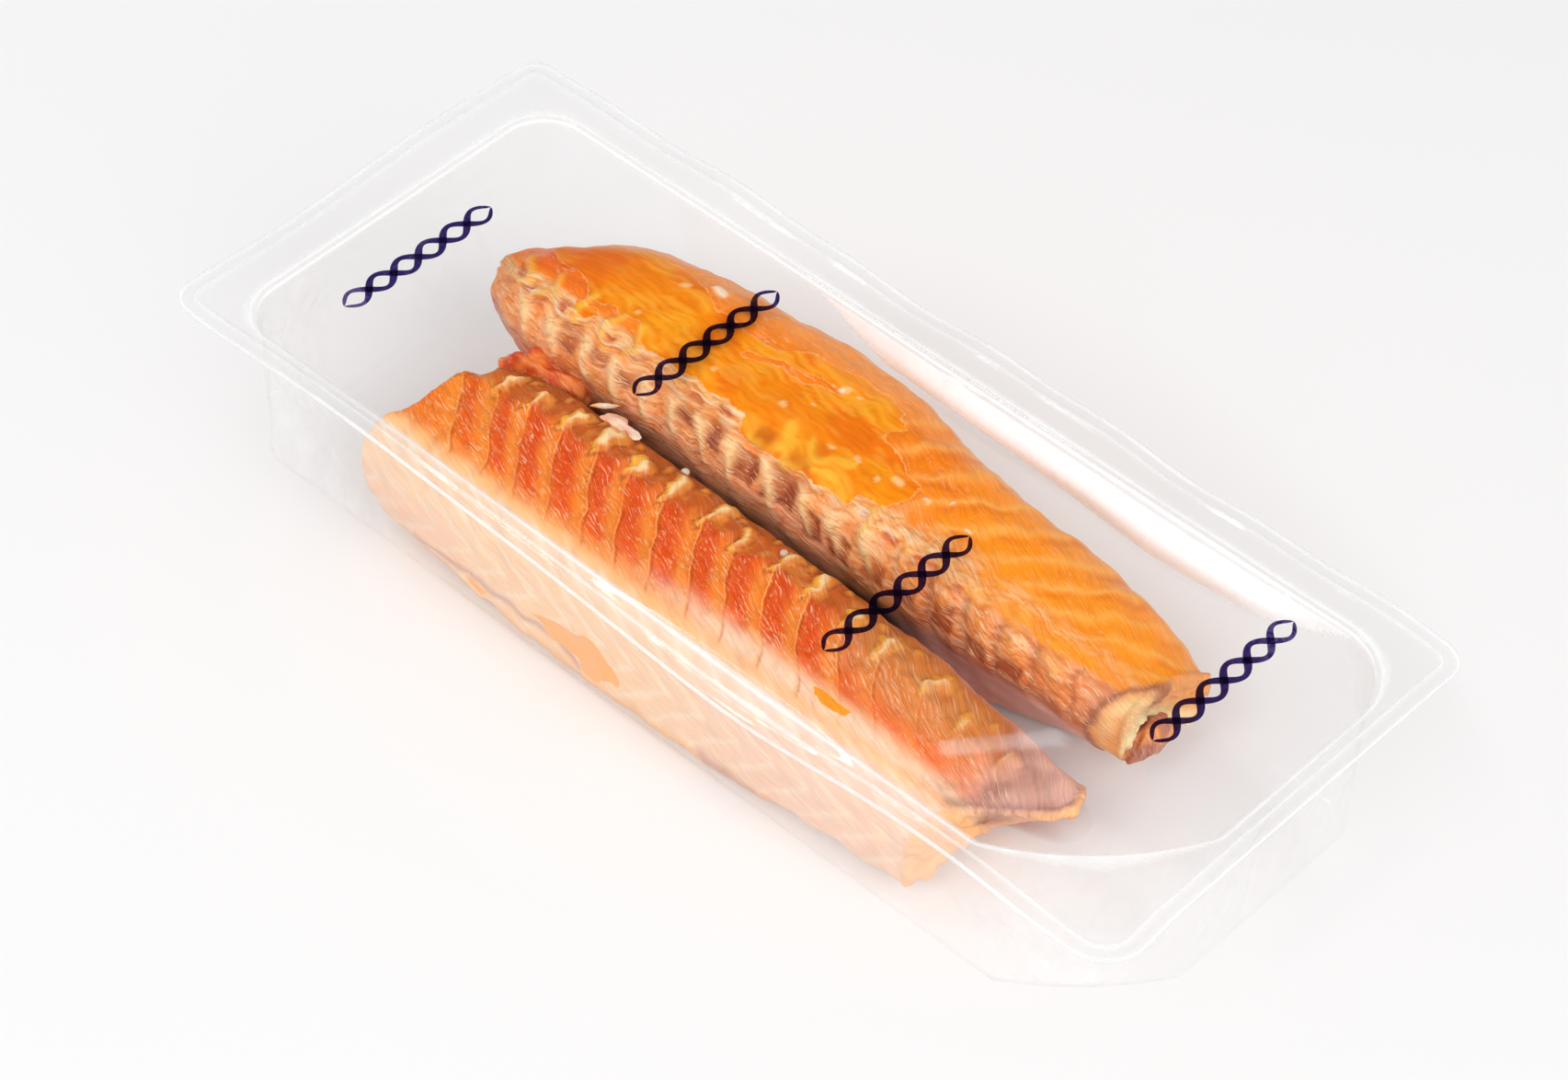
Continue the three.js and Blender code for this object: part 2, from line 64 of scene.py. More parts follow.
WALL_DENTS = (  # x, y, z, depth and reach
    (-114, -49, 20, 4.2, 9),
    (-128, -38, 10, 2.6, 9),
    (103, -47, 12, 3.0, 9),
    (128, -24, 8, 3.2, 8),
    (137, 6, 26, 1.6, 10),
    (-60, 47, 28, 1.2, 16),
    (70, 47, 30, 2.0, 22),
)
# The far wall's glare band is a painted reflection, drawn white.
FAR_GLARE = (  # x, and how far down from the mouth the slack far wall is drawn white
    (-44, -1), (-34, 1), (-14, 7), (8, 6), (24, 6.5), (50, 10), (80, 9), (100, 7.5), (114, 4), (124, -1),
)
CRUMPLES = (  # x, y, z, depth, reach and size of the facets
    (-121, -49, 26, 3.4, 15, 9),
    (-131, -36, 36, 2.2, 14, 8),
    (-104, -50, 8, 2.0, 10, 7),
    (122, -40, 6, 3.2, 13, 7),
    (108, -46, 20, 1.8, 16, 10),
    (135, -10, 30, 1.6, 20, 9),
    (136, 30, 30, 1.4, 16, 8),
    (-132, 20, 26, 0.5, 20, 10),
)


def rise(value, low, high):
    """A smooth step from 0 at low to 1 at high."""
    share = np.clip((np.asarray(value, float) - low) / (high - low), 0, 1)
    return share * share * (3 - 2 * share)


def fall(value, low, high):
    return 1 - rise(value, low, high)


def bell(distance, width):
    return np.exp(-((distance / width) ** 2))


def unevenness(points, size, seed=0):
    """Soft noise between about -1 and 1, whose swells are size millimetres across."""
    shifted = points / size + np.array([3.7, 9.1, 5.3]) * (seed + 1)
    return np.array([noise.noise(p) for p in shifted.tolist()]) * 1.6


def rounded(place, box, radii, grow=0.0):
    """A rounded outline and its outward normals, for places on the edge of a square of -1 to 1."""
    half = np.array([box["right"] - box["left"], box["far"] - box["near"]]) / 2 + grow
    middle = np.array([box["right"] + box["left"], box["far"] + box["near"]]) / 2
    u, v = place.T
    far_radius = np.where(u > 0, radii["far_right"], radii["far_left"])
    near_radius = np.where(u > 0, radii["near_right"], radii["near_left"])
    radius = np.maximum(np.where(v > 0, far_radius, near_radius) + grow, 0.6)[:, None]
    flat = place * half
    core = np.clip(flat, radius - half, half - radius)
    away = flat - core
    normal = away / np.maximum(np.linalg.norm(away, axis=1, keepdims=True), 1e-9)
    at = core + normal * radius
    turn = np.arctan2(-normal[:, 1:], normal[:, :1]) / (math.pi / 2)
    chord = core + radius * np.concatenate([1 - turn, -turn], axis=1)
    slack = np.where(((u > 0) & (v < 0))[:, None], radii.get("flat", 0.0), 0.0)
    return middle + at * (1 - slack) + chord * slack, normal


def rim_lift(x, y):
    """How far the soft rim bends up or down."""
    near_edge = rise(-y, -MOUTH["near"] - 1, -RIM["near"] - 0.75)
    far_edge = rise(y, MOUTH["far"] - 1, RIM["far"] - 0.75)
    left_edge = rise(-x, -MOUTH["left"] + 0.5, -RIM["left"])
    near_wave = sum(height * bell(x - at, reach) for at, height, reach in NEAR_WAVES)
    far_wave = 0.7 * np.sin(x / 15) + 0.5 * np.sin(x / 6.5 + 1)
    beyond_crease = (x - 114) * 0.42 - (y + 49) * 0.9 - 3
    hang = 1.6 * rise(beyond_crease, 0, 13) * rise(x, 88, 112)
    return near_edge * near_wave + far_edge * far_wave + left_edge * 0.8 * np.sin(y / 13) - hang


def wall_dent(x, y, z):
    """How far the wall of the pocket stands inwards of its plain form."""
    dents = sum(
        depth * bell(np.sqrt((x - a) ** 2 + (y - b) ** 2 + (z - c) ** 2), reach)
        for a, b, c, depth, reach in WALL_DENTS
    )
    middle = np.sin(math.pi * np.clip(z, 0, RIM_TOP) / RIM_TOP)
    return dents + 0.35 * middle * rise(np.abs(x), 100, 130) * np.sin(y / 3.1)


def select(*pieces):
    """Selects these pieces alone, and makes the first one active."""
    bpy.ops.object.select_all(action="DESELECT")
    for piece in reversed(pieces):
        piece.select_set(True)
        bpy.context.view_layer.objects.active = piece


def vectors_of(items, field="co"):
    flat = np.empty(len(items) * 3)
    items.foreach_get(field, flat)
    return flat.reshape(-1, 3)


def new_grid(name, columns, rows):
    """A flat grid, with the places of its vertices on a square of -1 to 1."""
    select()
    bpy.ops.mesh.primitive_grid_add(x_subdivisions=columns, y_subdivisions=rows, size=2)
    grid = bpy.context.object
    grid.name = name
    return grid, vectors_of(grid.data.vertices)


def blank_sheet(name, rings):
    """A flat grid, with each vertex's ring from the middle and its place on that ring."""
    sheet, places = new_grid(name, 2 * (CORE + rings), 2 * rings)
    i = np.rint(places[:, 0] * (CORE + rings))
    j = np.rint(places[:, 1] * rings)
    ring = np.maximum(np.abs(j), np.maximum(np.abs(i) - CORE, 0))
    place = np.column_stack([i / (CORE + ring), j / np.maximum(ring, 1)])
    return sheet, ring.astype(int), place


def set_points(piece, points):
    piece.data.vertices.foreach_set("co", (points * MM).ravel())
    piece.data.update()


def write_values(piece, **fields):
    """Stores a number, a vector or a colour for each point of a piece."""
    kinds = {1: ("FLOAT", "value"), 3: ("FLOAT_VECTOR", "vector"), 4: ("FLOAT_COLOR", "color")}
    for name, values in fields.items():
        kind, field = kinds[1 if values.ndim == 1 else values.shape[1]]
        layer = piece.data.attributes.new(name, kind, "POINT")
        layer.data.foreach_set(field, values.astype(np.float32).ravel())


def apply_modifier(piece, name, kind, **settings):
    made = piece.modifiers.new(name, kind)
    for key, value in settings.items():
        setattr(made, key, value)
    select(piece)
    bpy.ops.object.modifier_apply(modifier=made.name)


def filled(place, share, box, radii, grow):
    """Points inside a rounded outline, by their share of the way out from a line in its middle."""
    edge, _ = rounded(place, box, radii, grow)
    half = (box["right"] - box["left"] - box["far"] + box["near"]) / 2
    middle = ((box["right"] + box["left"]) / 2, (box["far"] + box["near"]) / 2)
    line = np.column_stack([middle[0] + place[:, 0] * half * 0.7, np.full(len(place), middle[1])])
    return line + (edge - line) * share[:, None]


def rim_outline(place, to_edge, grow):
    """Points of an outline a share of the way from the mouth's fillet to the cut edge."""
    mouth_line, _ = rounded(place, MOUTH, MOUTH_RADII, MOUTH_FILLET)
    edge_line, _ = rounded(place, RIM, RIM_RADII, grow if to_edge == 1 else -RIM_BEND)
    return mouth_line + (edge_line - mouth_line) * to_edge


def rim_steps(count):
    """Rings from the mouth's fillet to the cut edge: a share of the way between those two
    outlines, how far the outline grows, and the rise of the seal bead."""
    steps = [(s, MOUTH_FILLET * (1 - s) - RIM_BEND * s, 0) for s in np.linspace(0, 1, count)[1:]]
    for inset in np.linspace(-RIM_BEND, -2.6, 9)[1:]:
        steps.append((1, inset, SEAL_RISE * bell(inset + SEAL_INSET, SEAL_WIDTH)))
    return steps + [(1, inset, 0) for inset in (-1.6, -0.9, -0.6, -0.3, 0.0)]


def tray_profile():
    """Rings from the floor's fillet to the cut edge: a share from floor to mouth, a share from
    mouth to cut edge, how far each outline grows, and the height."""
    steps = []
    for a in np.radians(np.linspace(18, 90, 5)):
        grow = FLOOR_FILLET * (math.sin(a) - 1)
        steps.append((0, 0, grow, FLOOR_FILLET * (1 - math.cos(a))))
    low, high = FLOOR_FILLET, RIM_TOP - MOUTH_FILLET
    for z in [*np.linspace(low, 36, 8)[1:], *np.linspace(36, high, 20)[1:]]:
        steps.append(((z - low) / (RIM_TOP - low), 0, 0, z))
    for a in np.radians(np.linspace(12, 90, 8)):
        grow = MOUTH_FILLET * (1 - math.cos(a))
        steps.append((1, 0, grow, high + MOUTH_FILLET * math.sin(a)))
    return steps + [(1, to_edge, grow, RIM_TOP + bead) for to_edge, grow, bead in rim_steps(6)]


def rim_highlight_lines(to_edge, grow):
    """How white the sealed rim is drawn: nearly clear, with painted highlight lines along its
    mouth's fillet, its seal bead and its cut edge.
    """
    if to_edge == 0:
        return 0.9 * bell(grow - 0.35, 0.2) + 0.9 * bell(grow - 1.5, 0.16)
    line = 0.3 * bell(grow + SEAL_INSET, 0.25) + 0.9 * bell(grow + 0.3, 0.18) if to_edge == 1 else 0
    return 0.01 + line


TRAY_STEPS = tray_profile()
tray, ring_of, place = blank_sheet("tray_film", FLOOR_RINGS + len(TRAY_STEPS))
tray_points = np.zeros((len(place), 3))
tray_haze = np.zeros(len(place))
outward = np.zeros((len(place), 3))
on_floor = ring_of <= FLOOR_RINGS
share = ring_of[on_floor] / FLOOR_RINGS
tray_points[on_floor, :2] = filled(place[on_floor], share, FLOOR, FLOOR_RADII, -FLOOR_FILLET)
tray_points[on_floor, 2] = WALL / 2
outward[on_floor] = (0, 0, 1)
for step, (to_mouth, to_edge, grow, height) in enumerate(TRAY_STEPS):
    here = ring_of == FLOOR_RINGS + 1 + step
    floor_line, normal = rounded(place[here], FLOOR, FLOOR_RADII, grow - WALL / 2)
    mouth_line, _ = rounded(place[here], MOUTH, MOUTH_RADII, grow - WALL / 2)
    if to_edge > 0:
        mouth_line = rim_outline(place[here], to_edge, grow)
    flat = floor_line + (mouth_line - floor_line) * to_mouth
    film_height = WALL / 2 + height * (RIM_TOP - WALL) / RIM_TOP
    dent = wall_dent(*flat.T, np.full(len(flat), film_height))
    dent *= rise(film_height, 0.5, 5) * fall(film_height, 49, 51.5)
    sagged = rise(normal[:, 1], 0.7, 0.95) * rise(flat[:, 0], -60, 40) * fall(flat[:, 0], 92, 118)
    sagged *= rise(film_height, 36, 46.5) * fall(film_height, 46.5, 51.8)
    flat = flat - normal * (dent + FAR_SAG * sagged)[:, None]
    if to_mouth == 1:
        # Painted highlight lines along the rim's mouth, seal bead and cut edge.
        tray_haze[here] = rim_highlight_lines(to_edge, grow)
    # Painted reflection: a white glare band on the slack far wall, below the mouth.
    glare = film_height - 50.4 + np.interp(flat[:, 0], *np.transpose(FAR_GLARE))
    glare = rise(glare, -0.3, 0.4) * rise(normal[:, 1], 0.7, 0.9)
    tray_haze[here] += 0.9 * glare * (to_mouth < 1)
    tray_haze[here] += 0.1 * rise(-normal[:, 1], 0.5, 0.9) * (1 - 0.85 * to_edge) * (height > 1)
    lift = rim_lift(*flat.T) * rise(film_height, 49.5, 51.5)
    tray_points[here] = np.column_stack([flat, film_height + lift])
    on_wall = fall(film_height, 48, 51)
    outward[here, :2] = normal * on_wall
    outward[here, 2] = 1 - on_wall

# Crumples are folds along the zero lines of soft noise. They fade out at the seal.
crumpled = np.zeros(len(tray_points))
for x, y, z, depth, reach, size in CRUMPLES:
    near = bell(np.linalg.norm(tray_points - (x, y, z), axis=1), reach)
    folds = np.abs(unevenness(tray_points * (1, 1, 0.7), size, 4))
    crumpled += near * depth * (0.45 - folds)
z = tray_points[:, 2]
slack = unevenness(tray_points * (1, 1, 0.5), 26, 2) * 0.45 * rise(z, 3, 12) * fall(z, 44, 51)
floor_slack = np.where(z < 1, 0.12 * (unevenness(tray_points, 18, 3) + 1.2), 0)
crumpled *= rise(z, 0.4, 4) * fall(z, 48, 51)
tray_points += outward * (slack - np.abs(crumpled) + floor_slack)[:, None]


def linear(hex_colour):
    """A node's colour for an sRGB colour such as "#f4a261"."""
    parts = [int(hex_colour[k : k + 2], 16) / 255 for k in (1, 3, 5)]
    return tuple(c / 12.92 if c <= 0.04045 else ((c + 0.055) / 1.055) ** 2.4 for c in parts) + (1,)


def adder(tree):
    """Clears a node tree and returns the function that adds nodes to it."""
    tree.nodes.clear()

    def node(kind, inputs=(), **settings):
        """Adds a node. Its inputs are given by name or in order, as values or as sockets or nodes
        to link. Of a node, the first output in use is linked."""
        made = tree.nodes.new("ShaderNode" + kind)
        for key, value in settings.items():
            setattr(made, key, value)
        for key, value in inputs.items() if isinstance(inputs, dict) else enumerate(inputs):
            if isinstance(value, bpy.types.Node):
                value = next(output for output in value.outputs if output.enabled)
            if isinstance(value, bpy.types.NodeSocket):
                tree.links.new(value, made.inputs[key])
            else:
                made.inputs[key].default_value = value
        return made

    return node


def new_material(name):
    """A blank material, and the function that adds its nodes."""
    made = bpy.data.materials.new(name)
    made.use_nodes = True
    return made, adder(made.node_tree)


# Clear barrier film of polyamide and polyethylene, smooth from the chill roll. It shows by its
# reflections, strongest where it is seen at a slant, and whitens where it is creased. Its whitening
# values also carry painted highlight lines along the rim and a painted glare band on the far wall.
def clear_film(name, gloss, base_gloss):
    made, node = new_material(name)
    where = node("TexCoord").outputs["Object"]
    swell = node("TexNoise", {"Vector": where, "Scale": 70, "Detail": 2})
    ripple = node("TexNoise", {"Vector": where, "Scale": 320, "Detail": 1})
    height = node("Math", (ripple, 0.12, swell), operation="MULTIPLY_ADD")
    bump = node("Bump", {"Height": height, "Strength": 0.35, "Distance": 0.0004})
    facing = node("LayerWeight", {"Blend": 0.5, "Normal": bump}).outputs["Facing"]
    slant = node("Math", (facing, 5.0), operation="POWER")
    share = node("Math", (slant, gloss, base_gloss), operation="MULTIPLY_ADD", use_clamp=True)
    clear = node("BsdfTransparent", {"Color": (1, 1, 1, 1)})
    shine = node("BsdfAnisotropic", {"Color": (1, 1, 1, 1), "Roughness": 0.06, "Normal": bump})
    film = node("MixShader", (share, clear, shine))
    white = node("BsdfDiffuse", {"Color": linear("#ffffff")})
    # White over the film: real crease whitening, plus painted highlight lines and painted glare.
    haze = node("Attribute", attribute_name="haze").outputs["Fac"]
    cloud = node("TexNoise", {"Vector": where, "Scale": 120, "Detail": 3})
    patchy = node("MapRange", (cloud, 0.3, 0.7, 0.6, 1.0))
    white_share = node("Math", (haze, patchy), operation="MULTIPLY")
    node("OutputMaterial", {"Surface": node("MixShader", (white_share, film, white))})
    return made


# The guillotined edge of the film, white with the light that runs along inside it.
cut_edge, node = new_material("cut_film_edge")
where = node("TexCoord").outputs["Object"]
nicks = node("TexNoise", {"Vector": where, "Scale": 150, "Detail": 2})
share = node("MapRange", (nicks, 0.35, 0.65, 0.6, 1.0))
clear = node("BsdfTransparent", {"Color": linear("#f4efe9")})
white = node("BsdfDiffuse", {"Color": linear("#ffffff")})
node("OutputMaterial", {"Surface": node("MixShader", (share, clear, white))})


def finish_film(sheet, points, haze, thickness, material):
    """Gives a sheet its form, its white crease and painted highlight parts, its thickness and its
    materials.
    """
    set_points(sheet, points)
    write_values(sheet, haze=haze)
    apply_modifier(sheet, "film", "SOLIDIFY", thickness=thickness * MM, offset=0, material_offset_rim=1)
    bpy.ops.object.shade_smooth()
    sheet.data.materials.append(material)
    sheet.data.materials.append(cut_edge)
    sheet.visible_shadow = False
    sheet.visible_diffuse = False


tray_haze = np.clip(np.abs(crumpled) * 0.17 + tray_haze, 0, 1)
finish_film(tray, tray_points, tray_haze, FILM, clear_film("clear_tray_film", 0.75, 0.014))
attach(tray, "root")
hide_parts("tray")

# ==== Far salmon back ====
# The thicker of two smoked loins, trimmed from the fish and laid with its backbone side to the
# middle of the pack. The form of its CAD solid is meshed evenly, smoothed and modelled further.
FAR_MIDDLE = (22.0, 25.0)  # y and z of the line that its degrees are measured round
FAR_DEGREE = 0.42  # millimetres of surface in one of these degrees
MYOMERE = 10.8  # length of one muscle block, and so of one vertebra
FISH_VOXEL = 0.68
FISH_SMOOTHING = 8
FAR_BORDERS = (-93, -82, -70.8, -61.2, -51.5, -42, -32.3, -22.3, -11, 0.7, 10.3, 19.8, 30.2, 40.5,
               50.5, 60.2, 70.3, 80.5)  # x of the edges between its vertebra panels
FAR_PANELS = (  # dark windows of its backbone side: x from and to, degrees from and to
    (-79, -72.5, 137, 147), (-79, -73, 131, 136), (-69, -63, 132, 140), (-58.5, -54.5, 136, 145),
    (-41, -34, 133, 141), (-31, -24, 132, 144), (-21, -13, 134, 148), (-10, -0.5, 132, 150),
    (3, 9, 140, 155), (11.5, 18, 143, 156), (22, 28.5, 144, 156), (33, 38, 146, 156),
    (43, 49, 141, 158), (52.5, 59, 150, 160), (62, 68.5, 150, 160),
)
FAR_WINDOWS = (  # red windows in the pale strip above it
    (-38, -34, 125, 128), (-30, -25, 123, 126), (-57, -53, 125, 128), (-84, -80, 123, 129),
    (-96, -92, 126, 130), (16, 19.5, 127, 131), (24, 28, 129, 133), (34, 37, 131, 134),
    (45, 48, 131, 135), (-66, -63.5, 124, 128), (-101, -97, 117, 125), (-90, -87, 130, 136),
)
FAR_CONTACTS = (  # outlines of the flesh that the lid film wets, as x and degrees
    ((-55, 120.5), (-40, 120.5), (-30, 121), (-23, 121), (-21.5, 129), (-12, 130), (-4, 129.5),
     (2, 129), (12, 127.5), (14, 121), (18.5, 122), (19.5, 117), (22, 112), (22.5, 102), (20, 100),
     (17, 95), (11, 92), (6, 88), (6, 83), (8, 77), (5, 74), (4, 69), (1, 67), (-9, 65), (-14, 68),
     (-24, 72), (-28, 78), (-32, 80), (-50, 80), (-56, 76), (-64, 68), (-80, 62), (-94, 70),
     (-100, 84), (-99, 98), (-92, 104), (-84, 108), (-78, 115), (-70, 113), (-62, 112), (-58, 118)),
    ((-80, 119), (-79, 124), (-74, 125), (-71, 121), (-73, 118)),
)
FAR_ISLAND = ((-36, 92), (-29, 89), (-21, 86), (-12, 79))  # paler flesh left dry in the contact
FAR_BONES = (  # yellow bone under the wet flesh, as lines of x and degrees with a width
    (((-12, 112), (-11, 118), (-9, 124), (-7, 130)), 1.2),
    (((-9, 124), (-14, 128), (-19, 127)), 0.8),
    (((-6, 113), (-2, 119), (-4, 126), (-7, 130)), 1.1),
    (((-2, 119), (4, 116), (7, 113)), 0.9),
    (((-1, 124), (5, 123), (10, 126)), 0.9),
    (((50, 126), (51, 132), (52, 138)), 1.5),
    (((62, 123), (62.5, 132), (63.5, 140)), 1.7),
    (((72, 128), (73, 136), (75, 142)), 1.7),
    (((19, 127), (20, 131), (20.5, 136)), 1.2),
    (((30, 124), (31.5, 130), (32, 136)), 1.3),
    (((40, 125), (41, 131), (42, 137)), 1.2),
    (((-99, 114), (-95, 122), (-98, 129)), 1.2),
    (((-88, 114), (-86, 122), (-89, 129)), 1.2),
    (((-76, 112), (-78, 121), (-76, 129)), 1.0),
    (((-66, 113), (-68, 122), (-66, 130)), 1.0),
    (((-60, 114), (-58, 122), (-60, 129)), 1.0),
)
# Pale spots that are painted highlights on small bumps of the flesh.
FAR_GLINT_SPOTS = (  # x, degrees and radius
    (-56, 69, 2.4), (-63, 78, 1.2), (-64, 108, 0.8), (-19, 107, 0.9), (-13, 95, 0.6),
    (-12, 77, 1.5), (-7, 77, 0.7), (-1, 110, 0.7), (6, 109, 0.9), (14, 111, 0.8), (17, 105, 1.3),
    (-38, 112, 0.8), (26, 108, 0.7), (38, 106, 0.8), (31, 98, 0.6),
)


def supple_copy(node_name, name):
    """A merged, evenly meshed and smoothed copy of a CAD node's form."""
    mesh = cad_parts[node_name].data.copy()
    mesh.materials.clear()
    piece = bpy.data.objects.new(name, mesh)
    bpy.context.scene.collection.objects.link(piece)
    select(piece)
    bpy.ops.object.mode_set(mode="EDIT")
    bpy.ops.mesh.select_all(action="SELECT")
    bpy.ops.mesh.remove_doubles(threshold=0.01 * MM)
    bpy.ops.object.mode_set(mode="OBJECT")
    apply_modifier(piece, "even", "REMESH", mode="VOXEL", voxel_size=FISH_VOXEL * MM)
    apply_modifier(piece, "soft", "SMOOTH", factor=0.5, iterations=FISH_SMOOTHING)
    bpy.ops.object.shade_smooth()
    points = vectors_of(piece.data.vertices) / MM
    return piece, points, vectors_of(piece.data.vertex_normals, "vector")


def degrees_round(points, middle):
    return np.degrees(np.arctan2(points[:, 2] - middle[1], points[:, 1] - middle[0])) % 360


def to_line(flat, line, scale=(1, 1)):
    """Distance of each flat point from a line of points, which are scaled to fit it."""
    line = np.array(line) * scale
    best = np.full(len(flat), 1e9)
    for start, end in zip(line[:-1], line[1:]):
        run = end - start
        share = np.clip(((flat - start) @ run) / max(run @ run, 1e-9), 0, 1)
        best = np.minimum(best, np.linalg.norm(flat - start - share[:, None] * run, axis=1))
    return best


def inside(flat, outlines, scale):
    """How far inside the nearest closed outline each flat point is. It is negative outside."""
    best = np.full(len(flat), -1e9)
    for outline in outlines:
        closed = np.array([*outline, outline[0]]) * scale
        within = np.zeros(len(flat), bool)
        for (ax, ay), (bx, by) in zip(closed[:-1], closed[1:]):
            crosses = (ay > flat[:, 1]) != (by > flat[:, 1])
            at = ax + (flat[:, 1] - ay) / (by - ay if by != ay else 1e-9) * (bx - ax)
            within ^= crosses & (flat[:, 0] < at)
        best = np.maximum(best, np.where(within, 1, -1) * to_line(flat, closed))
    return best


def window(x, t, edges, soft):
    """1 inside the x and degree edges, fading over soft millimetres and twice that in degrees."""
    left, right, low, high = edges
    across = rise(x, left - soft, left + soft) * fall(x, right - soft, right + soft)
    return across * rise(t, low - 2 * soft, low + 2 * soft) * fall(t, high - 2 * soft, high + 2 * soft)


def painted(base, *layers):
    """Colours of points: a base, and over it each layer's colour where its mask says."""
    colours = np.array([linear(base)])
    for hex_colour, mask in layers:
        share = np.clip(mask, 0, 1)[:, None]
        colours = colours + (np.array(linear(hex_colour)) - colours) * share
    return colours


def keep_in_pack(points):
    """Holds the soft flesh inside the films."""
    x, y, z = points.T
    dent = wall_dent(x, y, z)
    height = np.clip(z / RIM_TOP, 0, 1)
    near = FLOOR["near"] + (MOUTH["near"] - FLOOR["near"]) * height + dent + WALL + 0.25
    far = FLOOR["far"] + (MOUTH["far"] - FLOOR["far"]) * height - dent - WALL - 0.25
    return np.column_stack([x, np.clip(y, near, far), np.clip(z, WALL + 0.25, RIM_TOP - 0.15)])


def creases(along, across, seed):
    """Fine creases of a drawn membrane: near 0 on a crease, up to about 1 between them."""
    places = np.column_stack([along, across, 0 * along])
    return np.clip(np.abs(unevenness(places, 1, seed)) * 1.6, 0, 1)


def off_zigzag(x, t, fold):
    """Distance from the nearest zigzag line between the muscle blocks of a flank."""
    blocks = (x + 0.5 * np.abs(t - fold) - 4) / MYOMERE
    return (blocks - np.rint(blocks)) * MYOMERE


far_back, p, n = supple_copy("salmon_back_far", "salmon_back_far_flesh")
warp, warp_fine = unevenness(p, 6, 0), unevenness(p, 2.6, 1)
x = p[:, 0] + 0.9 * warp + 0.35 * warp_fine
t = degrees_round(p, FAR_MIDDLE) + 2.2 * unevenness(p, 7, 2) + 0.8 * warp_fine
t = np.where(t > 280, t - 360, t)
scale = np.array([1, FAR_DEGREE])
flat = np.column_stack([x, t]) * scale
cut_end = rise(n[:, 0], 0.55, 0.8) * rise(p[:, 0], 80, 88)
border = sum(bell(x - at - 0.08 * (t - 140), 1.2) for at in FAR_BORDERS)
middles = (np.array(FAR_BORDERS[1:]) + FAR_BORDERS[:-1]) / 2
knuckled = rise(x, 20, 38)
knuckle = sum(bell(x - at - 0.08 * (t - 140), 3.0) for at in middles) * bell(t - 141, 9) * knuckled
on_side = rise(t, 130, 134) * fall(t, 158, 168)
panels = np.max([window(x, t, edges, 0.8) for edges in FAR_PANELS], axis=0)
windows = np.max([window(x, t, edges, 0.5) for edges in FAR_WINDOWS], axis=0)
strip_left = rise(t, 118, 122) * fall(t, 130, 133) * fall(x, 20, 80)
bones = np.max([1.4 * bell(to_line(flat, line, scale), width) for line, width in FAR_BONES], axis=0)
glint_spots = np.max(
    [
        fall(to_line(flat, ((a, b), (a + r, b + 0.1)), scale) / r, 0.3, 0.8)
        for a, b, r in FAR_GLINT_SPOTS
    ],
    axis=0,
)
contact = inside(flat, FAR_CONTACTS, scale)
contact = np.minimum(contact, to_line(flat, FAR_ISLAND, scale) - 1.1)
lobes = sum(
    bell(x - at - 0.25 * (t - 134), 0.7 + 2.3 * np.clip(1 - (t - 132) / 22, 0, 1))
    for at in FAR_BORDERS
)
lobes = np.clip(lobes, 0, 1) * rise(t, 131, 134) * fall(t, 146, 158) * (1 - knuckled)
lengthwise = creases(x / 7, flat[:, 1] / 1.1, 5)
wrinkled_right = 0.5 * rise(x, 10, 34) * window(x, t, (0, 96, 114, 124), 3)
wrinkled_strip = np.clip(strip_left + wrinkled_right, 0, 1)
wrinkled_side = on_side * (1 - 0.4 * rise(x, 60, 95))
myomere = (x - 0.5 * (118 - t) + 0.0026 * (118 - t) ** 2) / MYOMERE
beside_myomere = (myomere - np.rint(myomere)) * MYOMERE
on_flank = rise(t, 20, 50) * fall(t, 110, 120) * rise(x, -6, 20)
side_line = bell(off_zigzag(x, t, 4), 1.4) * fall(t, 30, 56)
relief = 0.8 * lobes - 0.7 * knuckled * border * on_side - 0.35 * panels - 0.35 * windows + 0.6 * bones
relief += 1.3 * knuckle + 0.3 * warp + 0.08 * warp_fine
relief += (0.3 * wrinkled_strip + 0.1 * wrinkled_side) * (lengthwise - 0.5)
relief -= 0.8 * bell((t - 131.5 - 1.2 * np.sin(x / 8)) * FAR_DEGREE, 0.6) * fall(x, 0, 22)
relief += 0.25 * bell(beside_myomere, 3.0) * on_flank - 0.25 * side_line + 0.4 * glint_spots
relief *= 1 - 0.85 * rise(contact, -0.4, 0.6)
bone = bell(to_line(p[:, 1:], ((8.0, 30.0), (16.0, 26.0), (25.0, 20.0))), 4.5) * cut_end
relief += cut_end * (1.2 + 0.6 * warp_fine + 0.5 * unevenness(p, 1.6, 9)) + 0.8 * bone
beyond_cut = p[:, 0] - 86.5 - 0.45 * np.clip(p[:, 1], 0, 25) + 0.6 * warp_fine
beyond_cut = np.where(t > 80, beyond_cut, -9) + np.where(p[:, 2] < 20, -2, 0)
relief -= 0.7 * rise(beyond_cut, -0.5, 1.0)
p += n * relief[:, None]
set_points(far_back, keep_in_pack(p))

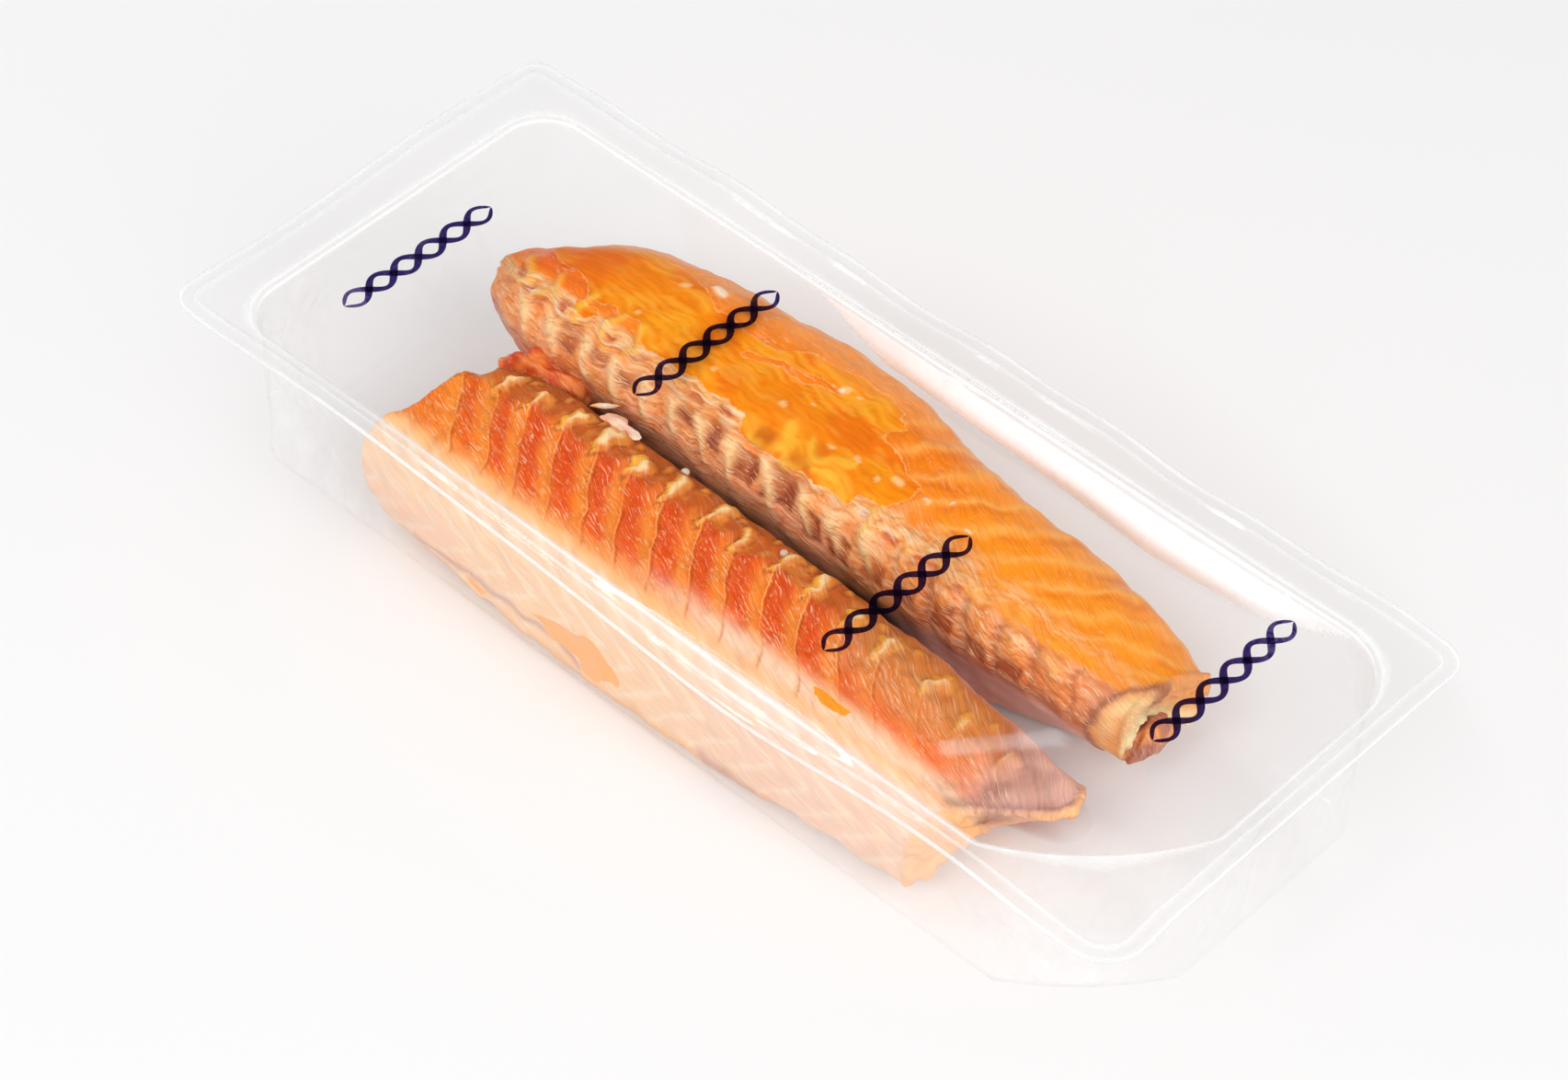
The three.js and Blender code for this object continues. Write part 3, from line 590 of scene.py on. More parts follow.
patchy = rise(unevenness(p, 4, 17), -0.8, 0.3)
# Painted shade: the flesh deep in the furrow between the backs is dark brown, less glossy and with fewer
# fibres.
far_seam_shade = rise(t + 8 * rise(x, 16, 34), 170, 182) * fall(t, 262, 280) * rise(x, -104, -88)
marrow = bell(to_line(p[:, 1:], ((5.0, 27.0), (9.0, 25.0))), 1.6)
streaks = creases(x / 10, (flat[:, 1] - 0.12 * x) / 1.6, 21)
fibre_share = 0.4 - 0.1 * on_flank + 0.45 * wrinkled_side - 0.6 * far_seam_shade
threads = on_flank * 0.55 * (1 - cut_end) * rise(unevenness(p, 9, 18), -0.5, 0.5)
radius = np.hypot(p[:, 1] - FAR_MIDDLE[0], p[:, 2] - FAR_MIDDLE[1])
drift = 0.2 * (x - 10 + np.sqrt((x - 10) ** 2 + 300))
tint = painted(
    "#fb840e",
    ("#ff9418", rise(x, 14, 50)),
    ("#e65a16", bell(x + 92, 14) * window(x, t, (-120, -78, 84, 116), 3) * 0.8),
    ("#f3741a", bell(x + 78, 14) * window(x, t, (-100, -64, 70, 118), 4) * 0.8),
    ("#ffa050", fall(t, 58, 80) * 0.8),
    ("#ffdcb0", side_line * 0.6),
    ("#ffbe66", bell(beside_myomere, 2.0) * on_flank * 0.35),
    ("#ffbe74", np.maximum(strip_left, wrinkled_right * 0.6) * 0.8),
    ("#fb9c54", on_side * 0.95),
    ("#f08c50", rise(t, 148, 160) * fall(x, 70, 90) * 0.8),
    ("#e88450", on_side * rise(x, 25, 40) * 0.6),
    ("#ffa070", window(x, t, (-58, 14, 147, 176), 2.5) * 0.85),
    ("#c05a2e", fall(x, -54, -42) * rise(t, 146, 156) * 0.7),
    ("#a05a44", rise(x, 32, 44) * rise(t, 153, 162) * 0.7),
    ("#ffd69a", lobes * 0.9),
    # Painted highlight on each knuckle's top, and painted shade in the borders between the knuckles.
    ("#f09c48", knuckle * 0.65),
    ("#a4562c", border * knuckled * on_side * 0.5),
    ("#8c2204", panels * (1 - lobes) * (0.4 + 0.3 * patchy + 0.25 * bell(x + 14, 34))),
    ("#c8480c", windows * 0.75),
    # Painted highlights on the crease ridges and painted shade in their valleys, on the strip and the
    # side.
    ("#fff0d2", wrinkled_strip * rise(lengthwise, 0.6, 0.95) * 0.4),
    ("#d86a1c", wrinkled_strip * fall(lengthwise, 0.05, 0.3) * 0.55),
    ("#ffdcb4", wrinkled_side * rise(lengthwise, 0.6, 0.95) * (1 - panels) * 0.3),
    ("#b8541c", wrinkled_side * fall(lengthwise, 0.05, 0.3) * 0.45),
    ("#fcc04c", np.clip(bones, 0, 1) * (0.12 + 0.43 * (x < 20))),
    # Painted highlights on small bumps.
    ("#ffefcf", glint_spots * 0.85),
    # Painted shade in the furrow between the backs.
    ("#341409", far_seam_shade * fall(x, 26, 50)),
    # Painted shade: the pinkish, shaded floor seen between the backs, painted on to this low flank.
    ("#f6ccc2", far_seam_shade * rise(x, 26, 44) * 0.95),
    ("#c07a64", rise(p[:, 0], 80, 90) * rise(t, 112, 150) * 0.6),
    ("#f0a060", np.maximum(cut_end, rise(beyond_cut, -0.2, 0.6) * 0.9)),
    ("#a4604c", cut_end * fall(p[:, 2], 14, 22) * 0.7),
    ("#8c4a40", bell(beyond_cut, 0.8) * 0.75),
    ("#fce4b0", bone * 1.4),
    ("#fad79a", bell(beyond_cut - 3, 1.6) * bell(p[:, 1] - 9, 7) * 0.8),
    ("#b4602c", cut_end * marrow),
    ("#f29a58", rise(-n[:, 0], 0.6, 0.85) * fall(p[:, 0], -98, -88)),
)
wet_tint = painted(
    "#fb8f0c",
    ("#ffab1e", rise(unevenness(p, 9, 7), 0.0, 0.7) * 0.6),
    ("#f0720a", rise(unevenness(p, 12, 8), 0.0, 0.6) * 0.8),
    ("#ffbc46", rise(streaks, 0.6, 0.95) * 0.35),
    ("#e4680a", fall(streaks, 0.06, 0.3) * 0.4),
    ("#ea6a1c", bell(x + 88, 16) * bell(t - 88, 18) * 0.8),
    ("#fba85a", fall(t, 60, 78) * 0.6),
    ("#f27a12", bell(x + 12, 14) * bell(t - 108, 10) * 0.6),
    ("#fab93a", np.clip(bones, 0, 1) * (0.35 + 0.45 * patchy)),
    ("#b4520c", window(x, t, (-18.5, -12.5, 120, 127), 1.2) * 0.6),
    ("#c05a0c", window(x, t, (-8, -1.5, 121, 128), 1.2) * 0.5),
    ("#cc5c0e", window(x, t, (-4, 0, 112, 118), 1.2) * 0.5),
    # Painted highlights on small bumps, also where the film is wet on the flesh.
    ("#ffe3a8", glint_spots * 0.55),
)
write_values(
    far_back,
    tint=tint,
    wet_tint=wet_tint,
    contact=contact,
    wrinkle=np.clip(wrinkled_strip * 0.8 + wrinkled_side * 0.4, 0, 1),
    membrane=beside_myomere / 4.5,
    membrane_share=threads,
    fibre=np.clip(fibre_share, 0.05, 1),
    gloss=1 - 0.85 * far_seam_shade,
    grain=np.column_stack([x + 2 * cut_end * radius, flat[:, 1] - drift, radius]),
)


# Smoked salmon flesh: wet, slightly translucent muscle with fine fibres between thin membranes.
# It is glossy where air lies over it, and plain deep amber where the film is sucked on to it.
salmon, node = new_material("smoked_salmon_flesh")
read = {}
for field, output in (
    ("grain", "Vector"), ("tint", "Color"), ("wet_tint", "Color"), ("contact", "Fac"),
    ("wrinkle", "Fac"), ("membrane", "Fac"), ("membrane_share", "Fac"), ("fibre", "Fac"),
    ("gloss", "Fac"),
):
    read[field] = node("Attribute", attribute_name=field).outputs[output]
cloud = {}
for field, per_mm, detail, twist in (
    ("fibres", (0.13, 1.4, 0.05), 4, 0.0),
    ("outlines", (0.11, 1.3, 0.05), 2, 0.0),
    ("creases", (0.1, 1.2, 0.05), 2, 0.3),
    ("glints", (0.32, 2.5, 0.05), 1, 0.0),
    ("mottle", (0.16, 0.16, 0.16), 3, 0.0),
    ("pores", (0.9, 1.8, 0.1), 3, 0.0),
):
    place = node("Mapping", {"Vector": read["grain"], "Scale": per_mm})
    look = {"Vector": place, "Scale": 1, "Detail": detail, "Distortion": twist}
    cloud[field] = node("TexNoise", look)


def off_line(value, line):
    """Distance of a value from the line where it is this much."""
    return node("Math", (node("Math", (value, line), operation="SUBTRACT"),), operation="ABSOLUTE")


def lay(base, over, *shares):
    """A colour over another, by the product of some shares."""
    share = shares[0]
    for other in shares[1:]:
        share = node("Math", (share, other), operation="MULTIPLY")
    over = linear(over) if isinstance(over, str) else over
    return node("Mix", {0: share, 6: base, 7: over}, data_type="RGBA")


# Fibres about 0.7 mm apart, with fine pale outlines in patches, which are painted highlights.
streak = node("MapRange", (cloud["fibres"], 0.36, 0.64, 0.9, 1.08))
flesh = node("VectorMath", {0: read["tint"], "Scale": streak}, operation="SCALE")
warm = node("VectorMath", (flesh, (0.99, 0.86, 0.7)), operation="MULTIPLY")
flesh = lay(flesh, warm, node("MapRange", (cloud["mottle"], 0.45, 0.65, 0.0, 0.4)))
hairline = node("MapRange", (off_line(cloud["outlines"], 0.5), 0.004, 0.022, 1.0, 0.0))
patch = node("MapRange", (cloud["pores"], 0.47, 0.56, 0.0, 0.6))
flesh = lay(flesh, "#ffe2b4", hairline, read["fibre"], patch)

# Short bright streaks: painted highlights where single fibres stand up wet.
glint = node("MapRange", (cloud["glints"], 0.6, 0.67, 0.0, 0.75))
patch = node("MapRange", (cloud["mottle"], 0.42, 0.56))
flesh = lay(flesh, "#ffd8ac", glint, patch, read["fibre"])

# Creases of drawn membrane, with painted shade in their valleys and painted creamy highlights on top.
crease = off_line(cloud["creases"], 0.5)
crease_shade = node("VectorMath", (flesh, (0.82, 0.5, 0.28)), operation="MULTIPLY")
flesh = lay(flesh, crease_shade, node("MapRange", (crease, 0.0, 0.06, 0.7, 0.0)), read["wrinkle"])
ridge = node("MapRange", (crease, 0.1, 0.2, 0.0, 0.3))
flesh = lay(flesh, "#fff0d8", ridge, read["wrinkle"])

# Pale golden membrane between the muscle blocks, with a dark cleft along one side.
beside = node("Math", (cloud["pores"], 0.7, read["membrane"]), operation="MULTIPLY_ADD")
darker = node("VectorMath", (flesh, (0.72, 0.45, 0.32)), operation="MULTIPLY")
cleft = node("MapRange", (off_line(beside, 1.05), 0.1, 0.6, 0.8, 0.0))
flesh = lay(flesh, darker, cleft, read["membrane_share"])
thread = node("MapRange", (off_line(beside, 0.35), 0.05, 0.26, 0.7, 0.0))
flesh = lay(flesh, "#f8b45c", thread, read["membrane_share"])

# Where the film touches, with an edge that follows the pores.
ragged = node("Math", (cloud["pores"], 1.4, read["contact"]), operation="MULTIPLY_ADD")
wet = node("MapRange", (ragged, 0.62, 0.82))
depth = node("MapRange", (cloud["fibres"], 0.36, 0.64, 0.93, 1.05))
soaked = node("VectorMath", {0: read["wet_tint"], "Scale": depth}, operation="SCALE")
edge = node("MapRange", (off_line(ragged, 0.66), 0.05, 0.2, 0.35, 0.0))
colour = lay(lay(flesh, soaked, wet), "#ffd79a", edge)

# Fibres and creases, as heights in millimetres, catch the light.
height = node("Math", (cloud["fibres"], 0.5), operation="MULTIPLY")
height = node("Math", (cloud["pores"], 0.12, height), operation="MULTIPLY_ADD")
height = node("Math", (height, read["fibre"]), operation="MULTIPLY")
fold = node("MapRange", (crease, 0.0, 0.2, 0.0, 0.24), interpolation_type="SMOOTHSTEP")
height = node("Math", (fold, read["wrinkle"], height), operation="MULTIPLY_ADD")
dry = node("Math", (1.0, wet), operation="SUBTRACT")
bump = node("Bump", {"Height": height, "Strength": dry, "Distance": 0.001})
shiny = node("Math", (dry, read["gloss"]), operation="MULTIPLY")
coat = node("Math", (read["wrinkle"], 0.6, 0.28), operation="MULTIPLY_ADD")
skin = {
    "Base Color": colour,
    "Roughness": 0.36,
    "IOR": 1.38,
    "Specular IOR Level": 0.08,
    "Subsurface Weight": 0.1,
    "Subsurface Radius": (1.0, 0.35, 0.12),
    "Subsurface Scale": 0.001,
    "Coat Weight": node("Math", (coat, shiny), operation="MULTIPLY"),
    "Coat Roughness": 0.1,
    "Coat IOR": 1.4,
    "Normal": bump,
    "Coat Normal": bump,
}
node("OutputMaterial", {"Surface": node("BsdfPrincipled", skin)})
far_back.data.materials.append(salmon)
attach(far_back, "root")
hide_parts("salmon_back_far")

# ==== Near salmon back ====
# The thinner loin, leaning on the near wall. The ends of its neural spines stand in a row along
# its crest, with a slanting line of membrane from each one between the muscle blocks below.
NEAR_MIDDLE = (-28.0, 20.0)
NEAR_DEGREE = 0.35
SPINE_ENDS = (-90, -79, -68.5, -58, -46.5, -36, -25, -13, -2.5, 9, 20, 32, 43, 56, 68, 80)
NEAR_CONTACTS = (
    ((36.5, 110), (38, 117), (47, 117.5), (48, 111), (42, 108.5)),
    ((-40, 200), (-28, 193), (-25, 193), (-22, 186), (-15, 197), (-10, 205), (-11, 210),
     (-16, 212), (-18, 217), (-22, 217), (-24, 209), (-32, 210)),
    ((-62, 209), (-61, 213), (-56, 214), (-54.5, 210)),
    ((-52, 219), (-50, 225), (-46, 225), (-45.5, 219)),
)
NEAR_MAUVE_LINES = (
    (((-81, 213), (-70, 209), (-58, 207), (-45, 206), (-31, 208), (-24, 214)), 0.8),
    (((16, 218), (22, 221), (31, 224)), 2.0),
)

near_back, p, n = supple_copy("salmon_back_near", "salmon_back_near_flesh")
warp, warp_fine = unevenness(p, 6, 10), unevenness(p, 2.6, 11)
x = p[:, 0] + 0.6 * warp + 0.25 * warp_fine
t = degrees_round(p, NEAR_MIDDLE) + 1.6 * unevenness(p, 7, 12) + 0.6 * warp_fine
t = np.where(t > 300, t - 360, t)
scale = np.array([1, NEAR_DEGREE])
flat = np.column_stack([x, t]) * scale
whole = fall(x, 34, 70)
cut_end = rise(n[:, 0], 0.5, 0.75) * rise(p[:, 0], 68, 74)
tent = np.zeros(len(p))  # the drawn-up skin over each spine end, 1 along its ridge
lit_face = np.zeros(len(p), bool)
rib = np.full(len(p), 20.0)
for k, spine in enumerate(SPINE_ENDS):
    up = (71 - t) / (22 + 4 * math.sin(2.1 * k))
    half = 0.5 + (3.0 + 1.0 * math.sin(5.3 * k)) * np.clip(up, 0, 1)
    beside_ridge = x - spine - (1.6 + 0.5 * math.sin(k)) * up - 1.3 * math.sin(3 * k) * up**2
    beside_ridge += 0.7 * warp_fine
    here = np.clip(1 - np.abs(beside_ridge) / half, 0, 1)
    here *= rise(up, 0, 0.45) * fall(up, 0.75, 1.15)
    lit_face = np.where(here > tent, beside_ridge < 0, lit_face)
    tent = np.maximum(tent, here)
    small = np.clip(1 - np.hypot((x - spine - 6.2) / 1.6, (t - 49) / 4.5), 0, 1)
    tent = np.maximum(tent, 0.55 * small)
    slant = np.interp(t, (62, 82, 100, 115, 130), (0, 4.6, 9.2, 12.4, 15.0))  # of the ribs
    beside = (x - spine - slant) * 0.93
    rib = np.where(np.abs(beside) < np.abs(rib), beside, rib)
crest_band = rise(t, 40, 48) * fall(t, 60, 68)
on_slope = rise(t, 60, 67) * fall(t, 120, 130)
on_side = rise(t, 120, 140)
fibre = unevenness(np.column_stack([x / 6.5, (flat[:, 1] - 0.4 * x) / 1.3, 0 * x]), 1, 13)
side_line = bell(off_zigzag(x, t, 186), 1.4) * on_side
contact = inside(flat, NEAR_CONTACTS, scale)
mauve = np.max([bell(to_line(flat, line, scale), width) for line, width in NEAR_MAUVE_LINES], axis=0)
gnarled = window(x, t, (34, 76, 44, 84), 6)
relief = (1.5 * tent - 0.4 * crest_band * (1 - tent)) * (0.7 + 0.3 * whole)
relief += 0.22 * fibre * on_slope + 0.25 * warp + (0.1 + 0.2 * gnarled) * warp_fine
relief -= 0.2 * bell(rib - 0.8, 0.7) * on_slope * (0.4 + 0.6 * whole)
relief -= 0.25 * side_line
relief *= 1 - 0.8 * rise(contact, -0.4, 0.6)
relief += cut_end * (1.6 + 0.7 * warp_fine)
p += n * relief[:, None]
set_points(near_back, keep_in_pack(p))

golden = rise(tent, 0.08, 0.3) * (0.6 + 0.4 * whole)
# Painted shade: the near back's inner side, deep in the furrow, is dark brown and less glossy.
near_seam_shade = fall(t, 34, 45) * rise(x, -98, -84)
rim_of_cut = rise(p[:, 0], 64, 70) * bell(n[:, 0] - 0.42, 0.12)
threads = on_slope * (0.3 + 0.7 * whole) * (1 - cut_end)
threads *= 0.35 + 0.65 * rise(unevenness(p, 5, 15), -0.5, 0.3)
radius = np.hypot(p[:, 1] - NEAR_MIDDLE[0], p[:, 2] - NEAR_MIDDLE[1])
tint = painted(
    "#ea5408",
    ("#fb861c", fall(x, -86, -62) * 0.8),
    ("#fb7e1c", rise(fibre, 0.1, 0.7) * on_slope * 0.4),
    ("#dc4c06", fall(fibre, -0.6, -0.1) * on_slope * 0.35),
    # Painted light and shade of the bulging muscle blocks: lighter beside each rib, deeper red further
    # on.
    ("#fb9832", bell(rib + 1.8, 2.2) * on_slope * 0.7),
    ("#de4806", bell(rib - 3.4, 2.6) * on_slope * fall(t, 90, 112) * 0.65),
    ("#cc4a0c", window(x, t, (-80, 40, 60, 72), 4) * (1 - bell(rib, 2.5)) * 0.4),
    ("#fa8040", rise(x, 30, 52) * 0.7),
    ("#f0ac94", rise(x, 68, 84) * 0.8),
    ("#fb9a4c", rise(t, 112, 120) * 0.7),
    ("#ffc898", rise(t, 96, 114) * rise(x, -14, 26) * 0.7),
    ("#ffb06c", rise(t, 119, 130)),
    ("#ffe2cc", bell(t - 117, 8) * rise(x, -30, 20) * 0.6),
    ("#fdca98", on_side),
    ("#fbc8aa", on_side * rise(x, -10, 40) * 0.9),
    ("#ffe9cc", side_line * 0.5),
    ("#f8b4a4", window(x, t, (-120, -66, 176, 214), 6) * 0.3),
    ("#f7ab4e", rise(t, 213, 221) * fall(x, 20, 50)),
    ("#c48478", mauve * 0.8),
    ("#c46220", crest_band * 0.85),
    ("#e89a44", crest_band * rise(unevenness(p, 3.2, 19), 0.1, 0.6) * 0.45),
    ("#a04c18", fall(t, 42, 54) * 0.8),
    # Painted shade round the foot of each tent.
    ("#903c0c", bell(tent - 0.08, 0.08) * (tent > 0) * whole * 0.7),
    ("#dc9048", gnarled * 0.6),
    # Golden membrane of the tents, with a painted highlight on the face turned to the light.
    ("#fbb23e", golden * (0.3 + 0.65 * lit_face)),
    ("#ffe9b4", rise(tent, 0.6, 0.95) * (0.6 + 0.4 * whole) * 0.75),
    ("#e2b6a8", window(x, t, (82, 112, 30, 120), 5) * 0.75),
    # Painted shade in the furrow between the backs.
    ("#341409", near_seam_shade * fall(x, 30, 56)),
    # Painted shade: the pinkish, shaded floor seen between the backs, painted on to this inner side.
    ("#e8b4a4", near_seam_shade * rise(x, 26, 48) * 0.9),
    ("#8a5250", rim_of_cut * (1 - on_side) * 0.6),
    ("#ffbe86", cut_end),
    ("#f29a58", rise(-n[:, 0], 0.6, 0.85) * fall(p[:, 0], -88, -78)),
)
wet_tint = painted("#f79a2a", ("#ffa42c", on_side))
write_values(
    near_back,
    tint=tint,
    wet_tint=wet_tint,
    contact=contact,
    wrinkle=np.clip(0.12 * on_slope + 0.25 * crest_band + 0.45 * gnarled, 0, 1),
    membrane=rib,
    membrane_share=threads,
    fibre=np.clip(0.3 + 0.5 * on_slope - 0.2 * on_side - 0.25 * crest_band, 0, 1),
    gloss=1 - 0.85 * near_seam_shade,
    grain=np.column_stack([x + 2 * cut_end * radius, flat[:, 1] - 0.4 * x, radius]),
)
near_back.data.materials.append(salmon)
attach(near_back, "root")
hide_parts("salmon_back_near")

# ==== Trimmings, and juice with painted shade ====
# A torn strip of belly flesh is caught between the two backs at the left end, and a scrap of pale
# membrane lies on the near one. A thin sheet of juice on the film between them carries painted
# shade: dark brown in the seam, pinkish further right, where the floor between them lies in shade.
JUICE_SHADE_HALF_LENGTH = 92
JUICE_SHADE_HALF_WIDTH = 12
JUICE_SHADE_DEPTH = 0.75


def torn_piece(name, middle, size, turn, roughness, seed, pale):
    select()
    bpy.ops.mesh.primitive_ico_sphere_add(subdivisions=5, radius=1)
    piece = bpy.context.object
    piece.name = name
    ball = vectors_of(piece.data.vertices)
    ball *= 1 + 0.22 * unevenness(ball, 0.9, seed)[:, None] + 0.08 * unevenness(ball, 0.35, seed)[:, None]
    a, b, up = (ball * size).T
    c, s = math.cos(turn), math.sin(turn)
    q = np.column_stack([c * a - s * b, s * a + c * b, up]) + middle
    q += (q - middle) * roughness * unevenness(q, 2.4, seed + 1)[:, None]
    set_points(piece, keep_in_pack(q))
    bpy.ops.object.shade_smooth()
    same = np.ones(len(q))
    write_values(
        piece,
        tint=painted(pale[0], (pale[1], rise(unevenness(q, 5, seed + 2), -0.3, 0.6))),
        wet_tint=painted(pale[0], (pale[0], same)),
        contact=-9.0 * same,
        wrinkle=0.4 * same,
        membrane=9.0 * same,
        membrane_share=0.0 * same,
        fibre=0.4 * same,
        gloss=same,
        grain=q,
    )
    piece.data.materials.append(salmon)
    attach(piece, "root")


torn_piece("belly_strip", (-79, -4.5, 27), (13, 6.5, 11), 0.32, 0.05, 20, ("#d24a16", "#f2863c"))
torn_piece("torn_tag", (91.5, 20, 18.5), (3.6, 10, 5.5), 0.1, 0.08, 33, ("#b8705c", "#ee9c60"))
torn_piece("pale_scrap", (-49, -8.2, 40.0), (5.2, 1.7, 0.9), -0.05, 0.3, 24, ("#f6b89c", "#ffe2cc"))
torn_piece("pale_scrap_tail", (-56.6, -6.0, 39.0), (3.4, 0.5, 0.5), 0.75, 0.3, 27, ("#ffb878", "#fff0d8"))

juice_shade_sheet, places = new_grid("juice_and_shade_film", 150, 36)
u, v = places[:, 0], places[:, 1]
edge_wave = 1 + 0.12 * unevenness(places * (6, 0, 0), 1, 30)
x = JUICE_SHADE_HALF_LENGTH * u
y = -1.5 + JUICE_SHADE_HALF_WIDTH * v * edge_wave * np.sqrt(np.clip(1 - np.abs(u) ** 8, 0, 1))
depth = JUICE_SHADE_DEPTH * np.clip(1 - v**6, 0, 1) * np.clip(1 - u**12, 0, 1)
depth *= 1 + 0.25 * unevenness(np.column_stack([x, y, 0 * x]), 9, 31)
set_points(juice_shade_sheet, np.column_stack([x, y, WALL + 0.12 + depth]))
write_values(
    juice_shade_sheet,
    # Painted shade: dark brown in the seam between the backs, pinkish where the floor between them lies
    # in shade.
    tint=painted("#4e2416", ("#eeaea0", rise(x, 14, 44)), ("#f2dcd4", rise(x, 66, 90))),
    share=np.clip(depth / JUICE_SHADE_DEPTH, 0, 1) * (1 - 0.8 * rise(x, 68, 92)),
)
apply_modifier(juice_shade_sheet, "body", "SOLIDIFY", thickness=0.1 * MM, offset=-1)
bpy.ops.object.shade_smooth()

# Fish juice with painted shade: thin, pinkish brown and greasy, wetting the film under the backs.
made, node = new_material("fish_juice_and_painted_shade")
where = node("TexCoord").outputs["Object"]
cloud = node("TexNoise", {"Vector": where, "Scale": 260, "Detail": 4})
tint = node("Attribute", attribute_name="tint").outputs["Color"]
share = node("Attribute", attribute_name="share").outputs["Fac"]
shade = node("MapRange", (cloud, 0.3, 0.7, 0.92, 1.06))
shaded = node("VectorMath", {0: tint, "Scale": shade}, operation="SCALE")
wetness = {"Base Color": shaded, "Roughness": 0.25, "IOR": 1.34, "Alpha": share}
node("OutputMaterial", {"Surface": node("BsdfPrincipled", wetness)})
juice_shade_sheet.data.materials.append(made)
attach(juice_shade_sheet, "root")

# ==== Drops along the seam ====
# Clear drops of juice that the vacuum has drawn out: two large ones on the near back's crest,
# and a row of small ones in the furrow between the two backs.
LARGE_DROPS = ((-27.9, -7.9, 1.1), (7.8, -12.4, 1.0))  # x, y and radius
SMALL_DROPS = 60
CLUSTERED_DROPS = 26  # of the small ones
FURROW_WIDTHS = np.linspace(-17, 2, 39)
draws = np.random.default_rng(40)


def top_of_backs(x, y):
    heights = [WALL]
    for back in (far_back, near_back):
        found, at, _, _ = back.ray_cast(Vector((x, y, 80)) * MM, Vector((0, 0, -1)))
        if found:
            heights.append(at.z / MM)
    return max(heights)


def drop(x, y, radius, detail):
    bpy.ops.mesh.primitive_ico_sphere_add(subdivisions=detail, radius=radius * MM)
    made = bpy.context.object
    made.data.transform(Matrix.Diagonal((1, 1, 0.75, 1)))
    made.data.transform(Matrix.Translation(Vector((x, y, top_of_backs(x, y) + 0.35 * radius)) * MM))
    bpy.ops.object.shade_smooth()
    return made


def joined(pieces, name):
    select(*pieces)
    bpy.ops.object.join()
    bpy.context.object.name = name
    return bpy.context.object


drops = [drop(x, y, radius, 3) for x, y, radius in LARGE_DROPS]
for k in range(SMALL_DROPS):
    x = draws.uniform(-44, -30) if k < CLUSTERED_DROPS else draws.uniform(-75, 26)
    furrow = min(FURROW_WIDTHS, key=lambda y: top_of_backs(x, y))
    drops.append(drop(x, furrow + draws.normal(0, 1.0), draws.uniform(0.14, 0.34), 2))
seam_drops = joined(drops, "seam_drops")

# Clear watery juice, made milky white as painted highlights so that the drops show bright.
made, node = new_material("clear_juice_with_painted_sheen")
where = node("TexCoord").outputs["Object"]
cloud = node("TexNoise", {"Vector": where, "Scale": 400})
shade = node("Mix", {0: cloud, 6: linear("#fff6ec"), 7: linear("#ffe4c4")}, data_type="RGBA")
water = {"Base Color": shade, "Roughness": 0.03, "IOR": 1.33, "Transmission Weight": 0.45}
node("OutputMaterial", {"Surface": node("BsdfPrincipled", water)})
seam_drops.data.materials.append(made)
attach(seam_drops, "root")

# ==== Lid ====
# The top film, sealed round the rim under heat and vacuum. It is drawn flat over the fish and
# hangs a little slack over the two empty ends.
LID_MIDDLE = RIM_TOP + 0.425  # of the CAD solid, which the film runs in the middle of
LID_FILM = 0.2
LID_RINGS = 44
LID_SAG = 1.3
LID_WAVE = 0.25
LID_FOLD = ((95.6, -19.8), (80.8, -38))  # a short fold in the film, as ends in x and y


def lid_rise(x, y):
    away_x = x - (MOUTH["left"] + MOUTH["right"]) / 2
    away_y = y - (MOUTH["near"] + MOUTH["far"]) / 2
    over_ends = rise(np.abs(away_x), 88, 122)
    reach = np.hypot(
        away_x / (MOUTH["right"] - MOUTH["left"]) * 2, away_y / (MOUTH["far"] - MOUTH["near"]) * 2
    )
    a, b = x / 22, y / 17
    wave = 0.5 * np.sin(1.7 * a + 0.9 * np.sin(0.8 * b) + 0.4)
    wave += 0.3 * np.sin(3.1 * b - 1.3 * a + 1.9) + 0.2 * np.sin(5.3 * a + 2.3 * b + 0.7)
    plain = fall(reach, 0.62, 1) * (LID_WAVE * wave - LID_SAG * over_ends)
    return plain + 0.9 * rise(2.2 - to_line(np.column_stack([x, y]), LID_FOLD), 0, 1.6)


LID_STEPS = rim_steps(5)
lid, ring_of, place = blank_sheet("lid_film_sheet", LID_RINGS + len(LID_STEPS))
lid_points = np.zeros((len(place), 3))
lid_haze = np.zeros(len(place))
over = ring_of <= LID_RINGS
flat = filled(place[over], ring_of[over] / LID_RINGS, MOUTH, MOUTH_RADII, MOUTH_FILLET)
lid_points[over] = np.column_stack([flat, LID_MIDDLE + lid_rise(*flat.T)])
lid_haze[over] = 0.12 * rise(2.8 - to_line(flat, LID_FOLD), 0, 1.2)
for step, (to_edge, grow, bead) in enumerate(LID_STEPS):
    here = ring_of == LID_RINGS + 1 + step
    flat = rim_outline(place[here], to_edge, grow)
    lid_points[here] = np.column_stack([flat, np.full(len(flat), LID_MIDDLE + bead)])
    # Painted highlight lines along the lid's rim, a little weaker than the tray's.
    lid_haze[here] = 0.8 * rim_highlight_lines(to_edge, grow)
lid_points[:, 2] += rim_lift(lid_points[:, 0], lid_points[:, 1])
finish_film(lid, lid_points, lid_haze, LID_FILM, clear_film("clear_lid_film", 0.6, 0.006))
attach(lid, "root")
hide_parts("lid_film")

# ==== Print on the lid ====
# Four plain braids of two crossing wavy lines, printed in dark violet ink on the lid film.
PRINT_PLACES = ((-114, -10), (-44, 16), (42, -12), (111, 18))
PRINT_LENGTH = 48.0
PRINT_SWING = 2.6
PRINT_WAVE = 16.0
PRINT_STROKE = 0.9
INK = 0.03


